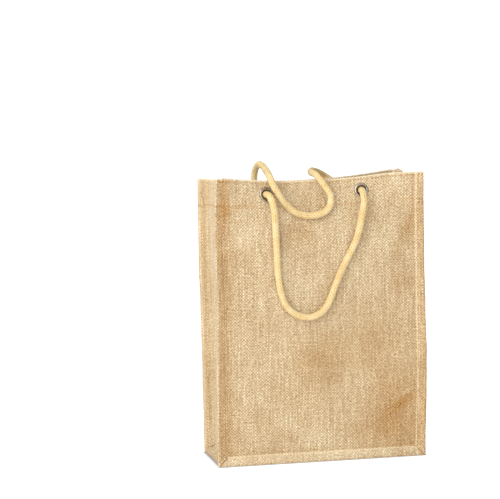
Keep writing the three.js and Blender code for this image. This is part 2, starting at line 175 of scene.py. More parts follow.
for name, route in (("front", FRONT_ROUTE), ("back", BACK_ROUTE)):
    print(f"{name} handle: {follow(route, 1.0)[1][-1]:.1f} mm of rope")

# %% [markdown]
# ## The braided rope
# The rope is a tubular plait: eight strands wind one way and eight the other, and they
# change places in eight columns round the rope, which gives its herringbone face. A tube
# could carry the plait as bump alone, but its edge would stay smooth. So the tube's rings
# are close enough together to raise every strand for real, and each point carries its
# height in the plait, which the cotton's colour reads later.

# %% Plait
ROPE_RADIUS = 4.55  # over the crowns of the strands
STRANDS = 8  # in each direction
PLAIT_PITCH = 4.9  # along the rope, from strand to strand
STRAND_CROWN = 0.8  # from the hollow between strands to their crown
STRAND_LIFT = 0.32  # by which a strand rises and sinks where strands cross


def plait(around, along):
    """Height of the plait, which strand is on top and the two strand counts."""
    first = STRANDS * around / (2 * np.pi) - along / PLAIT_PITCH
    second = STRANDS * around / (2 * np.pi) + along / PLAIT_PITCH
    swap = np.sin(STRANDS / 2 * around) * STRAND_LIFT
    heights = []
    for count, lift in ((first, swap), (second, -swap)):
        offset = 2 * (count - np.round(count))
        heights.append(STRAND_CROWN * np.sqrt(np.clip(1 - offset**2, 0, 1)) + lift)
    return np.maximum(*heights), heights[0] > heights[1], first, second


quarter = np.linspace(0, np.pi / 2, 50)
print("hollow to crown of the plait, mm:", np.ptp(plait(quarter, quarter)[0]).round(2))

# %% [markdown]
# A rope piece is a row of rings across its route. If each ring were turned to its own
# tangent, the plait would wring wherever the rope bends, so the first ring's direction is
# carried along from ring to ring. The corners also get a UV map that counts the strands.

# %% Rope pieces
STRAND_SHARE = 0.9  # of a strand's height is left, because soft strands press flat
END_BULGE = 0.3  # of the radius, at a closed end
ROPE_STEP = 0.55  # between the rings of a handle
ROPE_ROUND = 56  # corners round a ring


def new_piece(name, points, faces):
    """A piece from its points in millimetres and its faces."""
    mesh = bpy.data.meshes.new(name)
    mesh.from_pydata((np.asarray(points) * MM).tolist(), [], faces)
    piece = bpy.data.objects.new(name, mesh)
    bpy.context.scene.collection.objects.link(piece)
    return piece


def mark(piece, label, values):
    """Give each point of a piece a value that a material can read."""
    layer = piece.data.attributes.new(label, "FLOAT", "POINT")
    layer.data.foreach_set("value", values)


def carried_frames(centres):
    """Two directions across a line of points, carried along it without twist."""
    tangents = np.gradient(centres, axis=0)
    tangents /= np.linalg.norm(tangents, axis=1)[:, None]
    side = np.cross(tangents[0], (0.36, 0.48, 0.8))
    sides = []
    for tangent in tangents:
        side = side - tangent * np.dot(side, tangent)
        side = side / np.linalg.norm(side)
        sides.append(side)
    sides = np.array(sides)
    return tangents, sides, np.cross(tangents, sides)


def rope_piece(name, route, step, around_count, radius=ROPE_RADIUS):
    """A closed plaited tube along a route in millimetres."""
    centres, along = follow(route, step)
    tangents, sides, others = carried_frames(centres)
    turn = np.linspace(0, 2 * np.pi, around_count, endpoint=False)
    height, over, _, _ = plait(turn[None, :], along[:, None])
    reach = (radius - STRAND_CROWN + height * STRAND_SHARE)[:, :, None]
    rings = (
        centres[:, None, :]
        + reach * np.cos(turn)[None, :, None] * sides[:, None, :]
        + reach * np.sin(turn)[None, :, None] * others[:, None, :]
    )
    bulge = tangents * radius * END_BULGE
    caps = [centres[0] - bulge[0], centres[-1] + bulge[-1]]

    ring, spoke = np.meshgrid(
        np.arange(len(along) - 1), np.arange(around_count), indexing="ij"
    )
    here = ring * around_count + spoke
    beside = ring * around_count + (spoke + 1) % around_count
    walls = np.stack([here, beside, beside + around_count, here + around_count], axis=-1)
    faces = walls.reshape(-1, 4).tolist()
    last = (len(along) - 1) * around_count
    total = len(along) * around_count
    for at in range(around_count):
        following = (at + 1) % around_count
        faces.append([following, at, total])
        faces.append([last + at, last + following, total + 1])

    piece = new_piece(name, np.vstack([rings.reshape(-1, 3), caps]), faces)
    corner_turn = 2 * np.pi * np.stack([spoke, spoke + 1, spoke + 1, spoke], -1) / around_count
    corner_along = along[np.stack([ring, ring, ring + 1, ring + 1], -1)]
    counts = plait(corner_turn.ravel(), corner_along.ravel())[2:]
    wall_uv = np.stack(counts, axis=-1).ravel()
    cap_uv = np.zeros(2 * 3 * 2 * around_count)
    strands = piece.data.uv_layers.new(name="strands")
    strands.data.foreach_set("uv", np.append(wall_uv, cap_uv))
    crown = np.clip(height / (STRAND_CROWN + STRAND_LIFT), 0, 1)
    for label, values in (("crown", crown), ("over", over.astype(float))):
        mark(piece, label, np.append(values.ravel(), [0.5, 0.5]))
    piece.data.shade_smooth()
    return piece, centres


front_rope, front_path = rope_piece("front_rope", FRONT_ROUTE, ROPE_STEP, ROPE_ROUND)
back_rope, back_path = rope_piece("back_rope", BACK_ROUTE, ROPE_STEP, ROPE_ROUND)
for rope, node in ((front_rope, "front_handle"), (back_rope, "back_handle")):
    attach(rope, "root")
    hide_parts(node)
    print(rope.name, len(rope.data.polygons), "faces")

# %% [markdown]
# ## The knots
# Behind each eyelet the rope ends in a stopper knot: it goes straight in, turns back and
# winds one and a quarter times round itself, and its free end hangs down. The knot could
# be sculpted as a lump, but a rope tube on a wound route shows how it is tied. The route
# is worked out from the handle's last points, so the knot sits where the rope goes in.

# %% Knots
KNOT_RADIUS = 3.9  # the rope is pulled tight in its knot
KNOT_STEP, KNOT_ROUND = 0.8, 32  # a knot is seen less closely than a handle
LEAD_IN = [(-3.0, 0.0, 0.0), (4.0, 0.0, 0.0), (10.5, 0.3, 0.0), (15.0, 2.6, 0.4)]
WIND_RADIUS = 7.4
WIND_TURN = (90, 540)  # degrees round the rope
WIND_DEPTH = (13.5, 4.5)  # along the rope, from the handle's last point
WIND_POINTS = 16
TAIL_LENGTH = 21.0
TAIL_SPREAD = 1.5  # by which the free end leans out


def knot_route(end, before):
    """A stopper knot at the end of a handle, from its last two points.

    It is laid out in depth, height and side, and then turned to where the rope points.
    """
    end, before = np.array(end, float), np.array(before, float)
    inward = (end - before) / np.linalg.norm(end - before)
    up = np.array([0.0, 0.0, 1.0]) - inward * inward[2]
    up /= np.linalg.norm(up)
    side = np.cross(inward, up)
    local = list(LEAD_IN)
    for turn in np.linspace(*WIND_TURN, WIND_POINTS):
        angle = math.radians(turn)
        local.append((
            np.interp(turn, WIND_TURN, WIND_DEPTH),
            WIND_RADIUS * math.sin(angle),
            WIND_RADIUS * math.cos(angle),
        ))
    for share in (0.35, 0.7, 1.0):
        local.append((
            WIND_DEPTH[1], -TAIL_LENGTH * share, -WIND_RADIUS + TAIL_SPREAD * share
        ))
    return end + np.array(local) @ np.array([inward, up, side])


knots = {}
for handle, route in (("front", FRONT_ROUTE), ("back", BACK_ROUTE)):
    for place, end, before in (("left", route[0], route[1]), ("right", route[-1], route[-2])):
        name = f"{handle}_{place}"
        way = knot_route(end, before)
        knot, _ = rope_piece(f"tied_{name}", way, KNOT_STEP, KNOT_ROUND, KNOT_RADIUS)
        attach(knot, "root")
        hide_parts(f"knot_{name}")
        knots[name] = knot
        print(knot.name, len(knot.data.polygons), "faces")

# %% [markdown]
# ## Cloth, measured as it is sewn
# The bag is cut from laminated jute: two panels, two gussets and a base. Their raw edges
# are turned once and sewn together with the seams outside, so each seam stands out as a
# fin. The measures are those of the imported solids, in millimetres, but for a few that meet
# the real bag more closely: the hem's line, the ledge's edge, the heights of the rims and
# the line of the left seam. Heights run along the cloth, from 0 at the floor to the rim.

# %% Measures of the cloth
HEIGHT = 400.0
HALF_WIDTH = 150.0  # at the floor, to the tip of a side fin
DEPTH = 96.0  # between the outer faces of the panels
LAYER = 1.3  # jute with its laminate
DOUBLE = 2 * LAYER
GAP = 0.3  # between pieces that are sewn together
SEAM = 14.0  # width of a fin
HEM = 38.0  # from the rim down to its stitches
TURN = 3.0  # over this length one layer becomes two
LEAN, LEAN_START = 20.0, 250.0  # of the rim's middle into the mouth, and where it begins
LEDGE_ROOT, LEDGE_TIP = 11.0, 5.5  # heights of the ledge that closes a gusset below
LEDGE_INSET = 1.0  # from the tips of the fins
MITRE = 0.6  # room that a gusset leaves along the mitred corners
BASE_DROP = 4.0  # from the bottom fins' roots down to the base's folds
BASE_SAG = 2.0

SIDES = {
    "front": {
        "out": -1,
        "tip_at_floor": (-150.0, 150.0),
        "tip_at_rim": (-146.4, 148.0),
        "bulge": ((-3.6, 330.0, 60.0), (3.0, 145.0, 90.0)),  # size, height and reach
        "rim": (398.2, 402.5),
        "dip": (7.2, -15.0, 116.0),  # size, x and reach
        "flare": (9.0, 19.0),  # degrees by which the left and right fins stand out
        "bottom_flare": 19.0,
        "stitch": ((1.3, 4.3), (0.3, 3.1)),  # outside the root, at the floor and the rim
        "bumps": (  # x, z, width, height and size
            (-25, 300, 80, 60, 2.5),
            (70, 185, 60, 55, -4),
            (115, 90, 40, 45, 2.5),
            (90, 285, 45, 40, 2),
            (-80, 120, 60, 80, -2.5),
            (-10, 60, 80, 40, 1.5),
        ),
    },
    "back": {
        "out": 1,
        "tip_at_floor": (-149.3, 150.0),
        "tip_at_rim": (-153.9, 150.8),
        "bulge": ((-1.2, 290.0, 90.0), (2.0, 160.0, 90.0)),
        "rim": (397.3, 402.3),
        "dip": (8.5, -25.0, 145.0),
        "flare": (12.0, 12.0),
        "bottom_flare": 19.0,
        "stitch": ((0.6, 1.8), (0.8, 2.2)),
        "bumps": (
            (40, 280, 80, 70, 2.5),
            (-60, 170, 70, 60, -3.5),
            (60, 90, 60, 50, 2),
        ),
    },
}
GUSSETS = {  # belly: size, height and reach; tuck: how far the top folds in, from its start
    "left": {"end": 0, "out": -1, "belly": (4, 150, 110), "tuck": 1, "start": 200, "dip": 0.3},
    "right": {"end": 1, "out": 1, "belly": (3, 130, 110), "tuck": 12, "start": 180, "dip": 6},
}
EYELETS = {  # panel, x and z
    "front_left": ("front", -75.8, 374.7),
    "front_right": ("front", 62.0, 377.8),
    "back_left": ("back", -73.0, 369.0),
    "back_right": ("back", 62.0, 374.0),
}
print("bag over its fins:", 2 * HALF_WIDTH, "mm wide and", HEIGHT, "mm high")

# %% [markdown]
# ## The edges of a panel
# A sewn panel is nearly flat between its seams, and its edges flare out where the fins
# begin. The left and right fins bend a little, and the rim dips in the middle, where the
# handles pull. All of these lines come from a few measures and two soft shapes: a bell,
# which fades out, and an arch, which ends.

# %% Edges of a panel
SEAM_OFFSET = 1.0  # from the bottom seam's root down to its stitches


def bell(at, centre, reach):
    return np.exp(-(((at - centre) / reach) ** 2))


def bells(at, spots):
    """The sum of bells given by size, centre and reach."""
    return sum(size * bell(at, centre, reach) for size, centre, reach in spots)


def arch(at, centre, reach):
    return np.maximum(0, 1 - ((at - centre) / reach) ** 2)


def fin_tip(side, end, height):
    straight = np.interp(
        height, (0, HEIGHT), (side["tip_at_floor"][end], side["tip_at_rim"][end])
    )
    return straight + bells(height, [side["bulge"][end]])


def fin_root(side, end, height):
    inward = 1 if end == 0 else -1
    return fin_tip(side, end, height) + inward * SEAM * math.cos(
        math.radians(side["flare"][end])
    )


def bottom_root(side):
    return SEAM * math.cos(math.radians(side["bottom_flare"]))


def rim_height(side, x):
    left, right = side["tip_at_rim"]
    low, high = side["rim"]
    size, centre, reach = side["dip"]
    return low + (high - low) * (x - left) / (right - left) - size * arch(x, centre, reach)


def sewn_at(side, end, height):
    """Where the stitches of a side seam run."""
    outward = -1 if end == 0 else 1
    offset = np.interp(height, (0, HEIGHT), side["stitch"][end])
    return fin_root(side, end, height) + outward * offset


def bottom_sewn_at(side):
    return bottom_root(side) - SEAM_OFFSET


def from_stitches(name, x, z, height):
    """Distances inwards from the two side seams' stitches and the bottom seam's."""
    side = SIDES[name]
    left, right = (sewn_at(side, end, height) for end in (0, 1))
    return x - left, right - x, z - bottom_sewn_at(side)


print("front rim, mm:", [rim_height(SIDES["front"], x).round(1) for x in (-140, 0, 140)])

# %% [markdown]
# ## What sewing does to a panel
# Small things tell the eye that it is cloth: stitches draw it in along a line, it puckers
# between them, a fin is never quite straight, and a few creases stay. A cloth simulation
# could find some of it, but never the same creases. So they are placed here, as a small
# push out of the main shape.

# %% Sewing
STITCH_DENT = (-0.6, 0, 1.5)  # size, place and reach of what a line of stitches draws in
TURNED_EDGE = (0.35, -2.4, 1.6)  # the same of the edge that stands up beside them
HEM_LINE = HEIGHT - HEM
RIM_GROOVE = HEIGHT - 4.5  # where the fold of the hem ends
HEM_DENTS = ((-0.45, HEM_LINE, 1.6), (-0.315, RIM_GROOVE, 1.3))
PUCKER, PUCKER_REACH = 0.28, 9.0
PUCKER_LENGTH, PUCKER_DRIFT = 13.0, 17.0  # of a pucker, and over which its length wanders
PHASES = (0.0, 40.0, 90.0)  # so that the left, right and bottom seams differ
FIN_WAVE = 0.45
FIN_WAVES = ((1.0, 13.0, 1), (0.6, 5.3, 2))  # share, length and turns of the phase
ACROSS_MITRE = 0.7  # from the difference of two edge distances to one across the mitre
MITRE_STEP = 0.9  # by which the side seam lies over the bottom seam at a corner
MITRE_RISE, MITRE_FADE = 1.2, 7.0  # over which the step comes and goes
CREASES = {  # from x, z to x, z, width and size: a ridge is also painted pale as a highlight, a trough darker as shade
    "front": (
        (138, 98, 106, 86, 2.2, 0.3),
        (136, 90, 100, 66, 7, -0.3),
        (-134, 352, -96, 366, 6, -0.3),
        (-128, 330, -104, 300, 9, 0.25),
        (136, 348, 112, 300, 10, -0.3),
        (-60, 60, 10, 30, 12, 0.2),
    ),
    "back": (
        (-134, 90, -90, 60, 6, -0.4),
        (130, 340, 96, 300, 9, 0.3),
        (40, 50, 96, 34, 10, -0.3),
    ),
}


def crease(x, z, line):
    """A soft trough or ridge along a short line, fading at both ends."""
    x1, z1, x2, z2, width, size = line
    run = np.array([x2 - x1, z2 - z1], float)
    length = np.linalg.norm(run)
    run /= length
    along = (x - x1) * run[0] + (z - z1) * run[1]
    across = (x - x1) * run[1] - (z - z1) * run[0]
    return size * bell(across, 0, width) * bell(along, length / 2, length * 0.6)


def sewing(name, x, z, height):
    """What the sewing does to the cloth, as a small push out of the panel."""
    push = np.zeros(np.broadcast(x, z).shape)
    distances = from_stitches(name, x, z, height)
    for inside, along, phase in zip(distances, (z, z, x), PHASES):
        drift = np.sin(along / PUCKER_DRIFT + phase)
        wave = np.sin(2 * np.pi * along / PUCKER_LENGTH + phase + drift)
        push += PUCKER * wave * bell(inside, 2, PUCKER_REACH)
        push += bells(inside, (STITCH_DENT, TURNED_EDGE))
    for inside, phase in zip(distances[:2], PHASES):
        out = np.clip(-inside / SEAM, 0, 1)
        slow = sum(share * np.sin(z / length + turns * phase)
                   for share, length, turns in FIN_WAVES)
        push += FIN_WAVE * slow * out**2
        beyond = ACROSS_MITRE * (distances[2] - inside)  # above 0 on a corner's side seam
        corner = bell(np.minimum(inside, 0) + np.minimum(distances[2], 0), -SEAM, SEAM)
        lap = np.clip(beyond / MITRE_RISE, 0, 1) * np.exp(-np.clip(beyond, 0, None) / MITRE_FADE)
        push += MITRE_STEP * lap * corner * (inside < 2) * (distances[2] < 2)
    push += bells(height, HEM_DENTS)
    for line in CREASES[name]:
        push += crease(x, z, line)
    return push


push = sewing("front", np.linspace(-130, 130, 200), 200.0, 200.0)
print("push across the front, mm:", push.min().round(2), "to", push.max().round(2))

# %% [markdown]
# ## Painted light, shade and wear on a panel
# Folds, raised edges and the rim are painted pale, as highlights and a little wear, and the
# seams, the creases, the hollows and the cloth under the ropes are painted darker, as shade
# and some soil. It could be painted on an image, but values at the cloth's own points need
# no file. Above 0 they paint light, below 0 shade.

# %% Painted light and wear
SEAM_PAINTED_LIGHT = (  # left, right and bottom: painted highlight above 0 and painted shade below 0 on the sewn line, its side, band and tip
    (-0.28, -0.38, -0.42, 0.45),
    (0.45, -0.2, -0.15, -0.6),
    (0.6, -0.2, 0.2, -0.35),
)
SEAM_REACHES = (1.2, 7.0, 2.0, 1.6)  # of those four looks
BAND_LAP = 0.3  # by which the bands of two seams overlap at a corner
MITRE_PAINTED_LIGHT = ((0.5, 1.8, 1.2), (-0.9, -0.2, 0.9))  # painted highlight on the mitre's fold and painted shade beside it: size, place and reach across the fold
# painted highlight on the rim's rolled fold, painted shade under it and along the hem's stitches
RIM_PAINTED_LIGHT = ((0.9, HEIGHT, 1.8), (-0.3, RIM_GROOVE, 1.0), (-0.35, HEM_LINE, 1.0))
PAINTED_SHADE_PLACES = {  # x, z, width, height and how much painted shade darkens the cloth there: under the ropes and in the panel's hollows
    "front": (
        (0, 152, 45, 42, 0.34),
        (105, 75, 42, 62, 0.52),
        (64, 205, 26, 34, 0.24),
        (98, 165, 30, 30, 0.14),
        (-24, 48, 22, 18, 0.2),
        (60, 150, 40, 30, 0.2),
        (-28, 322, 24, 16, 0.3),
        (-136, 350, 8, 28, 0.3),
        (-40, 100, 60, 40, 0.16),
        (70, 40, 60, 18, 0.25),
        (115, 240, 14, 40, 0.2),
    ),
    "back": ((30, 120, 70, 60, 0.3), (-80, 250, 40, 60, 0.25)),
}


def panel_light_and_wear(name, x, z, height):
    """How pale, above 0, or dark, below 0, a panel's cloth is painted, as highlight, shade and
    wear.
    """
    side = SIDES[name]
    look = np.zeros(np.broadcast(x, z).shape)
    distances = from_stitches(name, x, z, height)
    tips = (x - fin_tip(side, 0, height), fin_tip(side, 1, height) - x, z)
    innermost = np.minimum.reduce(distances)
    at_line, at_side, at_band, at_tip = SEAM_REACHES
    # each seam's painted highlight and shade, and its band's, which ends in a mitre
    for inside, out, (line, beside, band, tip) in zip(distances, tips, SEAM_PAINTED_LIGHT):
        mine = inside <= innermost + BAND_LAP  # each band ends in a mitre at its corners
        look += mine * line * bell(inside, 0.2, at_line)
        look += beside * np.exp(-np.abs(inside - TURN) / at_side) * (innermost > 0)
        look += mine * (band * np.clip(-inside / at_band, 0, 1) + tip * bell(out, 0, at_tip))
    # painted highlight and shade across each mitred fold
    for inside in distances[:2]:
        folded = np.maximum(inside, distances[2]) < 0.5
        look += folded * bells(ACROSS_MITRE * (distances[2] - inside), MITRE_PAINTED_LIGHT)
    # patches of painted shade
    for at_x, at_z, wide, high, amount in PAINTED_SHADE_PLACES[name]:
        look -= amount * bell(x, at_x, wide) * bell(z, at_z, high)
    # the creases' ridges painted pale as highlight, their troughs darker as shade
    for line in CREASES[name]:
        look += crease(x, z, line)
    # with the rim's painted highlight and shade
    return np.clip(look + bells(height, RIM_PAINTED_LIGHT), -1, 1)


# painted light, shade and wear at a point in the front's lower left corner
print("wear in the lower left corner:", panel_light_and_wear("front", -140.0, 10.0, 10.0).round(2))

# %% [markdown]
# ## The surface of a panel
# Everything meets in one function: a place on the panel gives a point in space. The pieces
# of cloth, the stitches, the fibres and the eyelets all ask it, so they fit each other.

# %% Panel surface
def surface(name, x, height):
    """Points on the outer face of a panel, in millimetres."""
    side = SIDES[name]
    x, height = np.broadcast_arrays(np.asarray(x, float), np.asarray(height, float))
    z = height * rim_height(side, x) / HEIGHT
    left, right = (fin_root(side, end, height) for end in (0, 1))
    flare = np.maximum.reduce([
        (left - x) * math.tan(math.radians(side["flare"][0])),
        (x - right) * math.tan(math.radians(side["flare"][1])),
        (bottom_root(side) - z) * math.tan(math.radians(side["bottom_flare"])),
        np.zeros_like(x),
    ])
    risen = np.clip((height - LEAN_START) / (HEIGHT - LEAN_START), 0, None)
    half = (right - left) / 2 - TURN
    lean = LEAN * risen**2 * arch(x, (left + right) / 2, half)
    relief = sum(
        size * bell(x, at_x, wide) * bell(z, at_z, high)
        for at_x, at_z, wide, high, size in side["bumps"]
    )
    relief = relief + sewing(name, x, z, height)
    y = side["out"] * (DEPTH / 2 + flare + relief - lean)
    return np.stack([x, y, z], axis=-1)


print("middle of the front, mm:", surface("front", 0, 200).round(1))

# %% [markdown]
# ## From a grid of points to cloth
# Cloth is a thin sheet, so each piece starts as a grid of points on its right side. The
# grid keeps a flat UV map in the cloth's own measure, which the weave follows later, and
# how pale or dark each point is painted, as highlight, shade and wear. Solidify gives it
# one layer's thickness, or two where an edge is turned, and Bevel rounds the folds at the
# edges.

# %% Cloth pieces
def take(piece):
    """Select one piece alone and make it the active one."""
    bpy.ops.object.select_all(action="DESELECT")
    piece.select_set(True)
    bpy.context.view_layer.objects.active = piece


def apply_modifier(piece, kind, **settings):
    """Add a modifier with its settings and apply it."""
    take(piece)
    modifier = piece.modifiers.new(kind, kind)
    for name, value in settings.items():
        setattr(modifier, name, value)
    bpy.ops.object.modifier_apply(modifier=modifier.name)


def cloth_piece(name, points, turned, flat, painted_light_and_wear, present=None, flip=False, fold=0.6):
    """Cloth from rows of points whose columns crossed with rows point out of its right side.

    turned is 1 where the cloth is doubled, flat is its place on the flat cloth in mm, and
    the painted light and wear is above 0 where the cloth is painted pale, as highlight and
    wear, and below 0 where it is painted dark, as shade and soil. A grid that points the
    other way is flipped.
    """
    present = np.ones(points.shape[:2], bool) if present is None else present
    if flip:
        points, turned, flat, painted_light_and_wear, present = (
            values[:, ::-1] for values in (points, turned, flat, painted_light_and_wear, present)
        )
    index = np.full(present.shape, -1)
    index[present] = np.arange(present.sum())
    cells = [index[:-1, :-1], index[:-1, 1:], index[1:, 1:], index[1:, :-1]]
    faces = np.stack(cells, axis=-1).reshape(-1, 4)
    faces = faces[(faces >= 0).all(axis=1)]
    piece = new_piece(name, points[present], faces.tolist())
    weave = piece.data.uv_layers.new(name="weave")
    weave.data.foreach_set("uv", (flat[present][faces.ravel()] * MM).ravel())
    mark(piece, "painted_light_and_wear", painted_light_and_wear[present])
    group = piece.vertex_groups.new(name="turned")
    weights = np.clip(turned[present], 0, 1).round(2)
    for weight in np.unique(weights):
        group.add(np.flatnonzero(weights == weight).tolist(), float(weight), "REPLACE")
    apply_modifier(
        piece, "SOLIDIFY", thickness=DOUBLE * MM, offset=-1, use_even_offset=True,
        vertex_group="turned", thickness_vertex_group=LAYER / DOUBLE,
    )
    apply_modifier(
        piece, "BEVEL", width=fold * MM, segments=3, limit_method="ANGLE",
        angle_limit=math.radians(60),  # the edges of the sheet, and none of its bends
    )
    for vertex in piece.data.vertices:
        vertex.co.z = max(vertex.co.z, 0.0)  # what stands on the floor doesn't sink in
    piece.vertex_groups.clear()  # only Solidify needed it
    take(piece)
    bpy.ops.object.shade_smooth_by_angle(angle=math.radians(50))
    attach(piece, "root")
    return piece


def evenly(start, stop, step):
    """Values from start to stop, about one step apart."""
    return np.linspace(start, stop, max(1, round(abs(stop - start) / step)) + 1)


def spaced(stops, steps):
    """Values through all stops, about one step apart, with a step for each stretch."""
    runs = [evenly(*ends, step)[:-1] for *ends, step in zip(stops, stops[1:], steps)]
    return np.concatenate([*runs, stops[-1:]])

# %% [markdown]
# ## The front and back panels
# A panel is one cut of jute. A plane could be subdivided and bent, but its fins, field
# and hem need rows of different widths. So its grid is laid out row by row, close at the
# fins, where the mitred corners and the stitches are, and at the hem's stitch line. The
# turned edges and the hem are doubled cloth. The eyelets' holes are punched with a round
# cutter, as a maker does.

# %% Panels
FINE_STEP = 1.0
FINE_REACH = 8.0  # from a seam into the field
FIELD_STEP = 2.7
HOLE_RADIUS = 7.1
HOLE_CORNERS = 48
SPOT_REACH = 4.0  # over which the lie of the cloth at an eyelet is measured


def cloth_heights(lowest):
    """Heights of the rows of a piece, closest at the bottom seam, the hem line and the rim."""
    return spaced(
        [lowest, bottom_root(SIDES["front"]) + FINE_REACH, HEM_LINE - TURN, HEM_LINE + TURN,
         HEIGHT - FINE_REACH, HEIGHT],
        [FINE_STEP, FIELD_STEP, FINE_STEP, FIELD_STEP, FINE_STEP],
    )


def panel_spot(name, x, z):
    """A point on a panel's right side and the direction out of the cloth there."""
    cross = np.array([(0, 0), (1, 0), (-1, 0), (0, 1), (0, -1)]) * SPOT_REACH
    x, z = (cross + (x, z)).T
    points = surface(name, x, z * HEIGHT / rim_height(SIDES[name], x))
    normal = np.cross(points[1] - points[2], points[3] - points[4]) * -SIDES[name]["out"]
    return points[0], normal / np.linalg.norm(normal)


def panel(name):
    side = SIDES[name]
    heights = cloth_heights(0.0)
    field = fin_root(side, 1, 0.0) - fin_root(side, 0, 0.0)
    fine = FINE_REACH / field
    share = spaced(  # of the width: 0 to 1 left fin, 1 to 2 field, 2 to 3 right fin
        [0, 1, 1 + fine, 2 - fine, 2, 3],
        [FINE_STEP / SEAM, *(step / field for step in (FINE_STEP, FIELD_STEP, FINE_STEP)),
         FINE_STEP / SEAM],
    )
    x = np.array([
        np.interp(share, (0, 1, 2, 3), (
            fin_tip(side, 0, height), fin_root(side, 0, height),
            fin_root(side, 1, height), fin_tip(side, 1, height),
        ))
        for height in heights
    ])
    height = np.broadcast_to(heights[:, None], x.shape)
    points = surface(name, x, height)
    left, right = (fin_root(side, end, height) for end in (0, 1))
    inside = np.minimum.reduce([x - left, right - x, height - bottom_root(side)])
    turned = np.maximum(1 - inside / TURN, (height - HEM_LINE) / TURN)
    piece = cloth_piece(
        f"{name}_panel_cloth", points, turned, np.stack([x, height], axis=-1),
        panel_light_and_wear(name, x, points[..., 2], height), flip=side["out"] > 0, fold=1.1,
    )
    for at_side, at_x, at_z in EYELETS.values():
        if at_side == name:
            punch(piece, *panel_spot(name, at_x, at_z))
    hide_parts(f"{name}_panel")
    return piece


def punch(piece, point, normal):
    """Cut a round hole through cloth at a spot."""
    bpy.ops.object.select_all(action="DESELECT")
    bpy.ops.mesh.primitive_cylinder_add(
        vertices=HOLE_CORNERS, radius=HOLE_RADIUS * MM, depth=SEAM * MM, location=point * MM,
        rotation=Vector(normal).to_track_quat("Z", "Y").to_euler(),
    )
    cutter = bpy.context.object
    apply_modifier(piece, "BOOLEAN", object=cutter, operation="DIFFERENCE", solver="EXACT")
    bpy.data.objects.remove(cutter, do_unlink=True)


for name in SIDES:
    cloth = panel(name)
    print(cloth.name, len(cloth.data.polygons), "faces")

# %% [markdown]
# ## The gussets
# A gusset is a long strip between the two panels. Its edges are turned and sewn behind
# the panels' fins, its web bows a little into the bag, and its lower edge turns outwards
# into a narrow ledge over the base. It could be a strip that is bent twice, but it has to
# meet two fins that lean and flare. So each row of its grid is worked out as one line from
# the back fin to the front fin, and its corners are softened.

# %% Behind the fins
def seam_stack(angle):
    """Thickness of a seam of two turned edges, along Y."""
    return 2 * DOUBLE / math.cos(math.radians(angle)) + GAP


def flange(name, angle, x, height):
    """The far face of cloth that is sewn behind a panel's fin."""
    point = surface(name, x, height)
    point[..., 1] -= SIDES[name]["out"] * seam_stack(angle)
    return point


def side_flange(name, end, share, height):
    """The same at a share of the way from a side fin's root to its tip."""
    side = SIDES[name]
    root, tip = fin_root(side, end, height), fin_tip(side, end, height)
    return flange(name, side["flare"][end], root + (tip - root) * share, height)


def seam_to_seam(x, share, end):
    """Where a line of ledge points lies from the back seam to the front seam, as y."""
    back, front = (
        flange(name, SIDES[name]["flare"][end], x, LEDGE_TIP)[..., 1]
        for name in ("back", "front")
    )
    return back + (front - back) * share


left_span = [side_flange(name, 0, 0.0, 200.0)[1] for name in ("back", "front")]
print("span of the left gusset, mm:", (left_span[0] - left_span[1]).round(1))

# %% Gussets
CORNER_PASSES = 3  # that soften a corner
LEDGE_LINES = (  # share of the way out and down, from the ledge's edge to its root
    (1.0, 1.0), (0.75, 0.75), (0.5, 0.5), (0.25, 0.25), (0.06, 0.0),
)
CORNER_RISE = 0.9  # of the bend between the ledge and the web
BEND_SPACING, LEDGE_SPACING = 1.5, 3.2  # of these lines on the flat cloth
GUSSET_PAINTED_LIGHT = ((0.9, HEIGHT, 1.8), (-0.35, HEM_LINE, 1.2))  # painted highlight on the rim, painted shade at the hem line: size, height and reach


def web_line(gusset, height, columns):
    """One line of a gusset's web, from behind the back fin to behind the front fin."""
    over_mitre = max(height, bottom_root(SIDES["front"]) + MITRE)
    back, front = (
        side_flange(name, gusset["end"], 0.0, over_mitre) for name in ("back", "front")
    )
    span = back[1] - front[1]
    risen = max(0.0, (height - gusset["start"]) / (HEIGHT - gusset["start"]))
    bow = bells(height, [gusset["belly"]]) + gusset["tuck"] * risen**2
    y = np.linspace(back[1] - TURN, front[1] + TURN, columns)
    crown = arch(y, (back[1] + front[1]) / 2, span / 2 - TURN)
    line = back + (front - back) * ((back[1] - y) / span)[:, None]
    line[:, 0] -= gusset["out"] * bow * crown
    line[:, 2] -= gusset["dip"] * crown * height / HEIGHT
    return line


def soften(points, first, last):
    """Round the bend that a grid has between two of its columns."""
    for _ in range(CORNER_PASSES):
        beside = (points[:, first - 1:last - 1] + points[:, first + 1:last + 1]) / 2
        points[:, first:last] = (points[:, first:last] + beside) / 2


